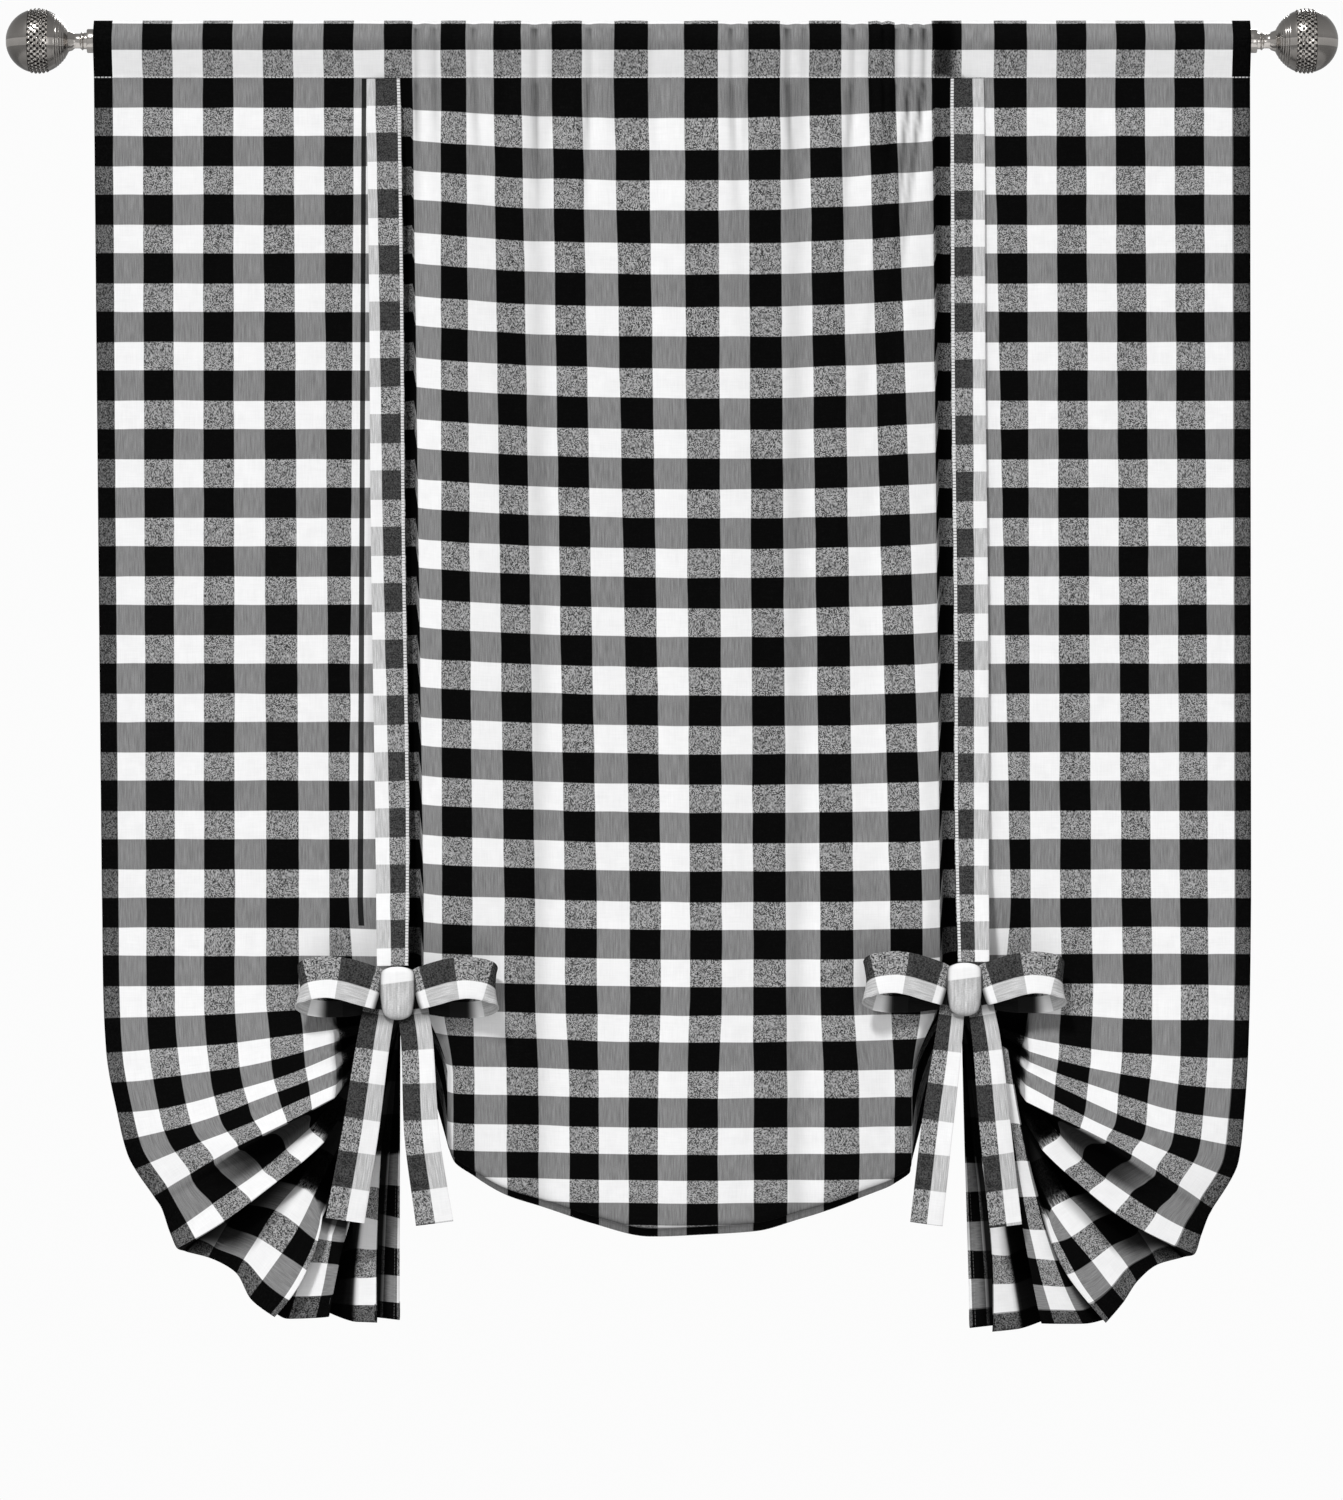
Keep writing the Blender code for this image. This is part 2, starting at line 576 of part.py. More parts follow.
def main():
    clear_scene()
    shade = bpy.data.collections.new("tie_up_shade")
    bpy.context.scene.collection.children.link(shade)
    check = make_material("check_cloth", (0.42, 0.42, 0.42), 0.9)
    nickel = make_material("brushed_nickel", (0.30, 0.28, 0.26), 0.35, 1.0)
    tie_cloth = make_material("tie_cloth", (0.5, 0.5, 0.5), 0.9)

    make_rod(nickel, shade)
    make_finials(nickel, shade)
    sheet_object("shade_cloth", cloth_rows(), CLOTH_THICKNESS, check, shade)
    for side in HEM_SIDE:
        make_front_tie(side, tie_cloth, shade)
        make_back_tie(side, tie_cloth, shade)
        make_knot(side, tie_cloth, shade)
        for where in ("outer", "inner"):
            make_loop(side, where, tie_cloth, shade)
            make_tail(f"{side}_{where}", tie_cloth, shade)


main()
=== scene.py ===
# %% [markdown]
# # A tie-up shade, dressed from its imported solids
# The shade is one panel of woven check. It hangs from a pocket on a metal rod, and two pairs of ties lift it, so
# its middle falls as a swag and its sides gather into fans. The solids already carry its size and its main folds,
# so this script makes the fine surface over them: a dense sheet whose UV map is the flat cloth, tied bows, turned
# and beaded metal ends, and finishes made of nodes.

# %% Load the frame
import json
import math

import bmesh
import bpy
import numpy as np
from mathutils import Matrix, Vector

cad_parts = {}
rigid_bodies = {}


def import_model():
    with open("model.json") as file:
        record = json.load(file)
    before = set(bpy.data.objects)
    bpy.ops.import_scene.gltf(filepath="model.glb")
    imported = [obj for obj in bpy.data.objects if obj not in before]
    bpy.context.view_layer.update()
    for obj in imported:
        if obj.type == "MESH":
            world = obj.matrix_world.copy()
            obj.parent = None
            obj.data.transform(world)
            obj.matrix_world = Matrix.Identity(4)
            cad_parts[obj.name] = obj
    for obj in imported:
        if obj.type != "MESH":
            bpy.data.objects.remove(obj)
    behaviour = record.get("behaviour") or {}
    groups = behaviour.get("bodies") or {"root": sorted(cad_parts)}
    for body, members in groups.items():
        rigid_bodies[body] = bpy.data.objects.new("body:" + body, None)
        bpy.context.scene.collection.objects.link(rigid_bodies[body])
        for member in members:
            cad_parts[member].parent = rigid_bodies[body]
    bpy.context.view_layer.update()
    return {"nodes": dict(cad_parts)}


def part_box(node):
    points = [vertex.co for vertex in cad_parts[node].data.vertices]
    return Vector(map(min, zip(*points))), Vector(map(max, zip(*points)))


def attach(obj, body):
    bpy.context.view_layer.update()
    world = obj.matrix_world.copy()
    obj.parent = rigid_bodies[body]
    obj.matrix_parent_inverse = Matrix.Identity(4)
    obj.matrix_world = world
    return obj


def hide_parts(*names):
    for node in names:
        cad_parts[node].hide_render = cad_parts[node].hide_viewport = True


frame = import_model()
print("nodes:", sorted(frame["nodes"]))

# %% [markdown]
# ## Units and the cloth's flat plan
# Working in metres keeps the scene in step with the frame. The tables are in millimetres, as a maker would
# measure, so one factor turns them into metres.

# %% Units and the flat plan
MM = 0.001
STRIPE = 28.15  # width of one stripe
BAR_REPEAT = 54.0  # length of one dark bar and one white bar
BAR_DARK = 28.0  # length of the dark one
HEM_STRIPE = 0.62  # share of a stripe that shows as the dark side hem
CLOTH_STRIPES = 38.2  # stripes across the whole cloth
FLAT_LENGTH = 1600.0  # from the crease over the rod to the bottom hem
ROOT_STRIPES = {"left": 9.6, "right": 9.4}  # stripes from each side hem to the gathered line behind its tie
SIDES = {"left": -1, "right": 1}
rod_low, rod_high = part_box("rod")
ROD_RADIUS = (rod_high.z - rod_low.z) / 2
KNOTS = {}
for side in SIDES:
    low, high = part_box(f"knot_{side}")
    KNOTS[side] = (low + high) / 2
print("rod radius", round(ROD_RADIUS / MM, 2), "mm; knots at",
      {side: [round(c, 4) for c in knot] for side, knot in KNOTS.items()})

# %% [markdown]
# ## Smooth lines through a few points
# Cloth has no corners, so a table needs a curve between its rows. A cubic that stays level wherever the values
# turn never overshoots, which matters here: an overshoot would push one fold through the next. Working on whole
# arrays with numpy keeps it fast for a hundred thousand points.

# %% Smooth lines
def through(places, values, at):
    """A smooth line through the values at the given places, level wherever they turn."""
    places, values, at = (np.asarray(x, float) for x in (places, values, at))
    spans = np.diff(places)
    rates = np.diff(values) / spans
    before, after = rates[:-1], rates[1:]
    same_way = before * after > 0
    middle = np.where(same_way, 2 * before * after / np.where(same_way, before + after, 1), 0)
    slopes = np.concatenate(([rates[0]], middle, [rates[-1]]))
    i = np.clip(np.searchsorted(places, at, side="right") - 1, 0, len(spans) - 1)
    t = (at - places[i]) / spans[i]
    rise = (values[i + 1] - values[i]) * t * t * (3 - 2 * t)
    return values[i] + rise + spans[i] * (slopes[i] * t * (1 - t) ** 2 - slopes[i + 1] * t * t * (1 - t))


def read_off(table, at, column=1):
    """The smooth line through one column of a table whose first column is the place."""
    table = np.array(table, float)
    return through(table[:, 0], table[:, column], at)


def mix(a, b, share):
    return a + (b - a) * share


def ease(share):
    """0 below 0, 1 above 1 and a soft S between."""
    t = np.clip(share, 0, 1)
    return t * t * (3 - 2 * t)


def hump(at, centre, half_width):
    """A soft rise of height 1 at the centre."""
    return np.exp(-((at - centre) / half_width) ** 2)


def walked(points, apart=0.0):
    """The distance walked along a line of points, starting from 0. A small apart keeps equal points apart, since a
    smooth line needs some length between its places."""
    return np.concatenate(([0], np.cumsum(np.linalg.norm(np.diff(points, axis=0), axis=1) + apart)))


def joined(*parts):
    """One array from its x, y and z parts, or from two parts of a UV map, all stretched to the same shape."""
    return np.stack(np.broadcast_arrays(*parts), axis=-1)


print("halfway between 1 and 3 on a smooth line:", float(through([0, 1], [1, 3], 0.5)))

# %% [markdown]
# ## The fans beside the bows
# Each side panel is drawn up behind its knot like a paper fan. A cloth simulation could gather it, but it would
# not stop at the folds that this shade has, so the folds are listed one by one. Each row below is a ridge, a valley
# or a place between. It starts at the side hem, passes a middle point and ends at the fold's rounded tip, where the
# cloth rolls back out of sight. The last two columns say where on the flat cloth the tip and the row lie, so the
# check goes round every fold with the cloth.

# %% The fan tables
FAN_FIELDS = ("hem_out", "hem_down", "hem_back", "mid_out", "mid_down", "mid_back", "tip_out", "tip_down",
              "tip_back", "roll", "tip_stripes", "flat")
LEFT_ROWS = (
    (274, -85, 0, 176, -85, 0, 65, -85, 0, 0, 7.5, 812),
    (273, -6, -1, 176, -6, -4, 65, -8, -4, 4, 7.5, 891.5),
    (270, 55, -2, 173, 47, -10, 60, 34, -12, 20, 7.5, 945),
    (260, 110, -3, 166, 95, -17, 59, 57, -17, 30, 7.5, 999),
    (250, 150, -4, 158, 118, -23, 57, 78, -22, 34, 7.5, 1040),
    (226, 188, -5, 144, 140, -30, 58, 96, -30, 40, 7.5, 1080),
    (219, 199, -3, 149, 153, -19, 60, 98, -8, 22, 6.5, 1090),
    (211, 222, -3, 143, 174, -17, 80, 123, -12, 30, 5.7, 1107),
    (204, 236, -8, 130, 189, -26, 68, 137, -24, 40, 5.62, 1134),
    (197, 240, 6, 156, 198, 2, 118, 158, 4, 16, 4.6, 1161),
    (176, 245, 0, 156, 212, -2, 123, 169, 6, 22, 3.62, 1188),
    (150, 259, -4, 128, 220, -9, 95, 178, -8, 30, 3.62, 1215),
    (136, 283, -8, 102, 237, -13, 77, 189, -13, 34, 3.62, 1245),
    (114, 299, -12, 83, 254, -17, 70, 207, -15, 34, 3.4, 1281),
    (117, 295, 12, 104, 242, 12, 92, 196, 12, 16, 3.2, 1305),
    (103, 302, 4, 89, 254, 0, 80, 217, 3, 22, 3.0, 1323),
    (64, 299, -6, 56, 255, -8, 50, 227, -4, 24, 2.9, 1372),
    (71, 295, 17, 61, 249, 20, 40, 165, 26, 8, 5.2, 1412),
    (40, 305, 6, 36, 232, 6, 24, 153, 13, 6, 5.6, 1435),
    (20, 305, -2, 20, 232, 0, 17, 153, 9, 6, 5.6, 1462.7),
    (34, 301, 24, 30, 229, 26, 22, 153, 28, 4, 5.6, 1513.5),
    (0, 304, 14, 0, 232, 18, 0, 153, 25, 4, 5.6, FLAT_LENGTH),
)
RIGHT_ROWS = (
    (266, -81, 0, 169, -81, 0, 63, -81, 0, 0, 7.5, 812),
    (265, -3, -1, 170, -4, -4, 64, -5, -4, 4, 7.5, 891.5),
    (263, 63, -2, 169, 60, -10, 60, 45, -12, 20, 7.5, 945),
    (259, 120, -3, 166, 104, -17, 61, 67, -17, 30, 7.4, 999),
    (254, 160, -4, 161, 131, -23, 57, 81, -22, 34, 7.5, 1040),
    (230, 203, -5, 150, 151, -30, 57, 103, -30, 40, 7.5, 1080),
    (226, 211, -3, 152, 166, -19, 65, 104, -8, 22, 6.5, 1090),
    (220, 227, -3, 148, 187, -17, 89, 133, -12, 30, 5.6, 1107),
    (213, 245, -8, 134, 202, -26, 72, 148, -24, 40, 5.58, 1134),
    (203, 249, 6, 158, 208, 2, 117, 167, 4, 16, 4.6, 1161),
    (180, 255, 0, 158, 220, -2, 120, 184, 6, 22, 3.6, 1188),
    (161, 270, -4, 134, 231, -9, 99, 193, -8, 30, 3.6, 1215),
    (147, 290, -8, 112, 248, -13, 80, 203, -13, 34, 3.6, 1245),
    (131, 308, -12, 94, 258, -17, 78, 214, -15, 34, 3.4, 1281),
    (133, 306, 10, 84, 236, 2, 52, 146, -12, 12, 5.6, 1305),
    (112, 310, 2, 70, 204, -14, 41, 56, -18, 16, 8.4, 1323),
    (72, 309, -6, 51, 200, -18, 31, 52, -20, 16, 8.5, 1372),
    (78, 307, 17, 56, 199, 20, 34, 66, 24, 8, 8.0, 1412),
    (52, 315, 6, 41, 240, 6, 28, 163, 13, 6, 5.6, 1435),
    (27, 317, -2, 26, 240, 0, 18, 163, 9, 6, 5.6, 1462.7),
    (42, 312, 24, 36, 237, 26, 24, 163, 28, 4, 5.6, 1513.5),
    (7, 315, 14, 5, 237, 18, 3, 163, 25, 4, 5.6, FLAT_LENGTH),
)
FAN_ROWS = {"left": LEFT_ROWS, "right": RIGHT_ROWS}
LAST_ROW = len(LEFT_ROWS) - 1
KNOT_ROW = 2  # the first row caught behind the knot
BUNCH_BELOW_KNOT, BUNCH_DEPTH = 26, 34
ROOT_OUT, ROOT_BACK = {"left": 9, "right": 12}, 3
ROOT_EASE = 1.7  # keeps the rows level until they are close to the knot
TIP_SHARE = 0.22  # where along a row the tip lies, from the bunch at 0 to the hem at 1
ROLL_FROM = 0.1  # how far from the tip towards the bunch the roll's deepest pull sits
ROLL_DEPTH = 1.7  # how much deeper than the table's roll the pull sits, since a curve passes inside its pull


def fan_column(side, field, rows):
    values = [row[FAN_FIELDS.index(field)] for row in FAN_ROWS[side]]
    return through(range(LAST_ROW + 1), values, np.clip(rows, 0, LAST_ROW))


def root_line(side, rows):
    """Where each row starts, in the bunch behind the knot, as three arrays."""
    knot = KNOTS[side]
    above = np.clip(1 - rows / KNOT_ROW, 0, 1)
    in_bunch = np.clip(rows - KNOT_ROW, 0, None) / (LAST_ROW - KNOT_ROW)
    down = mix(BUNCH_BELOW_KNOT, FAN_ROWS[side][0][FAN_FIELDS.index("hem_down")], above ** ROOT_EASE)
    return (knot.x + SIDES[side] * ROOT_OUT[side] * above * MM,
            (ROOT_BACK * above + BUNCH_DEPTH * in_bunch) * MM, knot.z - down * MM)


def fan(side, rows, shares):
    """The points of a fan as an array [row, share, axis], share 0 at the bunch and 1 at the hem."""
    knot = KNOTS[side]

    def measured(place):
        out, down, back = (fan_column(side, f"{place}_{way}", rows) for way in ("out", "down", "back"))
        return joined(knot.x + SIDES[side] * out * MM, back * MM, knot.z - down * MM)[:, None, :]

    root = joined(*root_line(side, rows))[:, None, :]
    tip, middle, hem = measured("tip"), measured("mid"), measured("hem")
    q = np.clip((shares - TIP_SHARE) / (1 - TIP_SHARE), 0, 1)[:, None]
    outer = tip * (1 - q) * (1 - 2 * q) + middle * 4 * q * (1 - q) + hem * q * (2 * q - 1)
    t = np.clip(1 - shares / TIP_SHARE, 0, 1)[:, None]
    pull = mix(tip, root, ROLL_FROM)
    pull[..., 1] += ROLL_DEPTH * fan_column(side, "roll", rows)[:, None] * MM
    inner = tip * (1 - t) ** 2 + pull * 2 * t * (1 - t) + root * t ** 2
    return np.where(shares[:, None] >= TIP_SHARE, outer, inner)


def stripes_from_hem(side, rows, shares):
    """How many stripes from the side hem the points of a fan lie on the flat cloth."""
    tip = fan_column(side, "tip_stripes", rows)[:, None]
    outside = tip * (1 - shares) / (1 - TIP_SHARE)
    gathered = 1 + ease(rows / 3)[:, None]
    inside = mix(tip, ROOT_STRIPES[side], np.clip(1 - shares / TIP_SHARE, 0, 1) ** gathered)
    return np.where(shares >= TIP_SHARE, outside, inside)


trial = fan("left", np.array([5.0, 13.0, 21.0]), np.linspace(0, 1, 60))
print("rows of the left fan, bunch to hem (mm):", [round(float(walked(row)[-1]) / MM) for row in trial])

# %% [markdown]
# ## The middle panel and its swag
# The middle falls a little in front of the sides, in soft upright flutes, to a scalloped fold. There the cloth
# turns up behind itself and comes down again to its bottom hem, which just peeks out below. The stripes are not
# evenly spaced across it, since a flute that turns away looks narrower, so each stripe's edge is placed at three
# heights, and the panel is drawn smoothly between them.

# %% The middle tables
# Edge of each stripe at the pocket, at the bows and near the scallop, from the shade's centre line
STRIPE_EDGES = (
    (-239.5, -228.9, -207.0), (-213.2, -211.8, -201.5), (-190.1, -183.6, -181.8), (-164.6, -154.6, -152.3),
    (-139.0, -126.4, -123.1), (-110.9, -98.7, -94.5), (-83.1, -69.2, -67.4), (-53.5, -38.8, -40.1),
    (-22.1, -10.2, -13.0), (11.1, 16.6, 13.7), (42.5, 46.1, 42.4), (70.1, 74.8, 75.3), (99.7, 105.2, 106.6),
    (126.4, 136.6, 140.3), (156.0, 167.3, 172.6), (180.9, 201.0, 205.4), (205.4, 230.7, 220.6),
    (239.5, 246.9, 221.6),
)
MIDDLE_STRIPES = len(STRIPE_EDGES) - 1
FIRST_MIDDLE_STRIPE = 10.62  # stripes from the left hem to the middle panel's left edge
BOW_LEVEL = -0.902
SWAG_BOTTOM = -1.105
RISE_ABOVE_BOWS = 0.2
# How far each row has fallen from the bows to the scallop, how far back it lies, and its place on the flat cloth
SWAG_ROWS = (
    (-0.545, -7, 812), (-0.15, -8, 891.5), (0.113, -8, 944), (0.377, -7, 998), (0.58, -6, 1039),
    (0.77, -5, 1080), (0.85, -4, 1098), (0.93, -1.5, 1117), (0.955, 3, 1128), (0.92, 7.5, 1141), (0.80, 9, 1178),
    (0.66, 10, 1221), (0.49, 11, 1267), (0.31, 12, 1316), (0.15, 13, 1359), (0.05, 14.5, 1386),
    (0.0, 17, 1400), (0.06, 19.5, 1414), (0.22, 20.5, 1446), (0.42, 21, 1486), (0.72, 22, 1540),
    (1.0, 23, FLAT_LENGTH),
)
FLUTES = (  # place from the panel's left edge to its right edge, and depth there
    (0, 0), (0.07, -5), (0.15, -1), (0.235, 5), (0.33, -3), (0.44, -1), (0.5, -5), (0.6, -2),
    (0.71, 5), (0.8, -4), (0.87, 1), (0.93, -6), (1, 0),
)
FADE_ROW, FADE_ROWS, FADE = 7, 8, 0.6  # where the flutes start to flatten behind the fold, how fast and how far
FOLD_ROW = 8  # the row where the cloth turns up behind itself
MIDDLE_HEM = 1588.0  # the middle was hemmed a little shorter, so its last bar is a dark one
SCALLOP = (  # place, and rise above the scallop's lowest point
    (0, 82), (0.107, 58), (0.176, 38), (0.244, 27), (0.341, 12), (0.455, 0), (0.568, 2), (0.653, 5), (0.732, 17),
    (0.8, 30), (0.862, 44), (0.927, 58), (1, 68),
)


def across_middle(places, level):
    """x of a place on the middle panel. level is 0 at the pocket, 1 at the bows and 2 near the scallop."""
    pocket, bows, low = (through(range(MIDDLE_STRIPES + 1), [edge[k] for edge in STRIPE_EDGES],
                                 places * MIDDLE_STRIPES) for k in range(3))
    level = np.asarray(level, float)[:, None]
    return mix(mix(pocket, bows, np.clip(level, 0, 1)), low, ease(level - 1)) * MM


def flute(places):
    return read_off(FLUTES, places) * MM


def scallop(places):
    return SWAG_BOTTOM + read_off(SCALLOP, places) * MM


def swag(rows, places):
    """The points of the gathered half of the middle panel as an array [row, place, axis], and each row's place
    on the flat cloth."""
    fall, back, flat = (through(range(len(SWAG_ROWS)), column, rows)[:, None] for column in zip(*SWAG_ROWS))
    drop = np.where(fall > 0, BOW_LEVEL - scallop(places), RISE_ABOVE_BOWS)
    depth = (1 - FADE * np.clip((rows - FADE_ROW) / FADE_ROWS, 0, 1))[:, None]
    x = across_middle(places, 1 + np.clip((rows - 0.8) / 2.4, 0, 1))
    return joined(x, back * MM + flute(places) * depth, BOW_LEVEL - fall * drop), flat


print("scallop from", round(float(scallop(0)), 4), "down to", round(float(scallop(0.5)), 4))

# %% [markdown]
# ## Laying out the whole cloth
# Everything is one grid, as the real thing is one panel. Its rows start at the turned-in edge behind the pocket,
# go over the rod, down the front and round every fold to the bottom hem. Its columns run from the left hem to the
# right one: a side panel, a narrow web that turns in behind the tie, the middle, and the same again.

# %% Rows and columns
POCKET_TOP, POCKET_SEAM = 0.0194, -0.034
CLOTH_HALF = 0.0005  # half the cloth's thickness
GAP = 0.0003
CREASE_TO_BAR = 5.0  # the first dark bar starts this far below the crease over the rod
PANEL_BACK = -0.0007
MIDDLE_STAND, STAND_REACHED = 0.007, 0.16  # how far forward the middle hangs, and the share of the way down then
WEB_SET_BACK, WEB_ARCH = 0.013, 0.012
TIE_LINES = {"left": (-0.266, -0.2565), "right": (0.272, 0.277)}
HALF_WIDTH = 0.5335
SIDE_COLUMNS, WEB_COLUMNS, MIDDLE_COLUMNS = ((60, 9, 152))
PLAIN_ROWS, STEPS_PER_ROW, POCKET_ROWS = ((100, 9, 30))
INNER_COLUMNS = 14
side_shares = np.concatenate((np.linspace(1, TIP_SHARE, SIDE_COLUMNS - INNER_COLUMNS, endpoint=False),
                              np.linspace(TIP_SHARE, 0, INNER_COLUMNS + 1)))
web_shares = np.linspace(0, 1, WEB_COLUMNS + 2)[1:-1]
places = np.linspace(0, 1, MIDDLE_COLUMNS + 1)


def pocket_line():
    """The pocket's section from the turned-in edge behind it over the rod to the seam in front."""
    clear = (ROD_RADIUS + GAP + CLOTH_HALF) / math.cos(math.radians(15))
    upper, lower = math.asin(clear / POCKET_TOP), math.asin(clear / -POCKET_SEAM)
    back = [(clear * math.cos(a), clear * math.sin(a)) for a in np.linspace(-lower, upper, 5)]
    crown = [(0.0030, POCKET_TOP - 0.0030), (0.0012, POCKET_TOP - 0.0006), (0, POCKET_TOP - CLOTH_HALF)]
    front = [(-b, h) for b, h in reversed(back + crown[:-1])]
    line = np.array([(0.0016, POCKET_SEAM - 0.009), (0.0012, POCKET_SEAM)] + back + crown + front
                    + [(PANEL_BACK, POCKET_SEAM)])
    far = walked(line)
    at = np.linspace(0, far[-1], POCKET_ROWS + 1)
    crease = far[len(back) + 4]
    return np.interp(at, far, line[:, 0]), np.interp(at, far, line[:, 1]), (at - crease) / MM - CREASE_TO_BAR


pocket_back, pocket_height, pocket_flat = pocket_line()
seam_flat = pocket_flat[-1]
first_height = float(root_line("left", np.array([0.0]))[2][0])
plain_height = np.linspace(POCKET_SEAM, first_height, PLAIN_ROWS + 2)[1:-1]
fallen = (POCKET_SEAM - plain_height) / (POCKET_SEAM - first_height)
flat_height = np.concatenate((pocket_height, plain_height))
flat_back = np.concatenate((pocket_back, np.full(PLAIN_ROWS, PANEL_BACK)))
flat_lift = np.concatenate((np.zeros(len(pocket_height)), fallen))
fold_rows = np.linspace(0, LAST_ROW, LAST_ROW * STEPS_PER_ROW + 1)
rows_here = np.concatenate((np.full(len(flat_height), -1.0), fold_rows))[:, None]  # -1 above the fans
print("grid:", len(rows_here), "rows; pocket seam", round(seam_flat, 1), "mm down the flat cloth")

# %% [markdown]
# ## Points and flat places together
# Two arrays grow side by side: where each grid point is in the room, and where it lies on the flat cloth. The
# second becomes the UV map. In the fans the flat places come from the tables, so that the check shows on each
# fold as it does on the real shade. On the front of the swag the bars hang level, so there the flat place follows
# from the height.

# %% Points and flat places
def side_stripes(side, rows):
    """Stripes across the flat cloth, from the left hem, for the points of a side panel and its web."""
    stripes = stripes_from_hem(side, rows, side_shares)
    root, edge = ROOT_STRIPES[side], FIRST_MIDDLE_STRIPE
    if side == "right":
        stripes, root, edge = CLOTH_STRIPES - stripes, CLOTH_STRIPES - root, edge + MIDDLE_STRIPES
    return np.concatenate((stripes, np.tile(mix(root, edge, web_shares), (len(rows), 1))), axis=1)


def whole(sides, middle):
    """One grid from the columns of both sides, which run inward from their hems, and those of the middle."""
    return np.concatenate((sides["left"], middle, sides["right"][:, ::-1]), axis=1)


def whole_stripes(rows):
    middle = np.tile(FIRST_MIDDLE_STRIPE + places * MIDDLE_STRIPES, (len(rows), 1))
    return whole({side: side_stripes(side, rows) for side in SIDES}, middle)


def flat_half():
    """The pocket and the plain half of the cloth: points, stripes and lengths."""
    lift = flat_lift[:, None]
    grown = np.clip(lift / STAND_REACHED, 0, 1)

    def placed(x, dip):
        return joined(x, flat_back[:, None] + dip, flat_height[:, None])

    sides = {}
    for side, outward in SIDES.items():
        at_top = mix(TIE_LINES[side][0], outward * HALF_WIDTH, side_shares)
        x = mix(at_top, fan(side, np.zeros(1), side_shares)[..., 0], lift)
        panel = placed(x, ROOT_BACK * MM * (1 - side_shares) ** 4 * lift)
        edge = across_middle(np.array([0.0 if side == "left" else 1.0]), flat_lift)
        dip = WEB_SET_BACK * np.sin(np.pi * web_shares ** 1.7) - MIDDLE_STAND * web_shares ** 3
        web = placed(mix(x[:, -1:], edge, web_shares), dip * grown)
        sides[side] = np.concatenate((panel, web), axis=1)
    points = whole(sides, placed(across_middle(places, flat_lift), (flute(places) - MIDDLE_STAND) * grown))
    lengths = np.concatenate((pocket_flat, mix(seam_flat, SWAG_ROWS[0][2], fallen)))
    return points, whole_stripes(np.zeros(len(points))), np.tile(lengths[:, None], (1, points.shape[1]))


def folded_half():
    """The gathered half of the cloth."""
    swagged, by_row = swag(fold_rows, places)
    lowest = int(np.argmin(scallop(places)))
    front = fold_rows <= FOLD_ROW
    level_length = np.interp(-swagged[..., 2], -swagged[front, lowest, 2], by_row[front, 0])
    at_fold, fold_flat = level_length[front][-1:], SWAG_ROWS[FOLD_ROW][2]
    behind = mix(at_fold, MIDDLE_HEM, (by_row - fold_flat) / (FLAT_LENGTH - fold_flat))
    middle_length = np.where(front[:, None], mix(by_row, level_length, ease(fold_rows / 3)[:, None]), behind)
    caught = np.clip(fold_rows / KNOT_ROW, 0, 1)[:, None]
    sides, lengths = {}, {}
    for side in SIDES:
        root = joined(*root_line(side, fold_rows))[:, None, :]
        web = mix(root, swagged[:, :1] if side == "left" else swagged[:, -1:], web_shares[:, None])
        web[..., 1] += WEB_SET_BACK * np.sin(np.pi * web_shares ** 1.7) * (1 - 0.6 * caught)
        web[..., 2] += WEB_ARCH * np.sin(np.pi * web_shares) * caught
        sides[side] = np.concatenate((fan(side, fold_rows, side_shares), web), axis=1)
        own = fan_column(side, "flat", fold_rows)[:, None]
        between = mix(own, middle_length[:, :1], web_shares)
        lengths[side] = np.concatenate((np.tile(own, (1, len(side_shares))), between), axis=1)
    return whole(sides, swagged), whole_stripes(fold_rows), whole(lengths, middle_length)


points, stripes_across, length_down = (np.concatenate(pair) for pair in zip(flat_half(), folded_half()))
middle_from = len(side_shares) + len(web_shares)
middle_cols = slice(middle_from, middle_from + len(places))
print("cloth grid", points.shape[:2], "flat length", round(float(length_down.max() - length_down.min())), "mm")

# %% [markdown]
# ## Sag, gathers and creases
# The main forms are in place, and now come the small ones that make it cloth. The bars of the middle panel hang
# lower than those beside it, and lower still at its centre, so the flat places are shifted there. Under the pocket
# the middle is gathered, and each gather is one soft trough with its own place, width, depth and reach, as uneven
# as real gathers are. In the pocket the cloth is pinched at the same places, most of all along its top edge.

# %% Sag, gathers and creases
SAG = 10.0  # how far the bars sag at the panel's centre, just below the pocket
SAG_LEFT_AT_BOWS, BOWS_DOWN = 0.45, 850  # what is left of the sag at the bows, this far below the rod
GATHERS_FADE = (400, 200)  # no gather gets past this place on the cloth, and the length over which they end
SWAY, SWAY_FADE = 0.9, (780, 60)  # depth of the panel's slow waves, and where and how fast they end above the fans
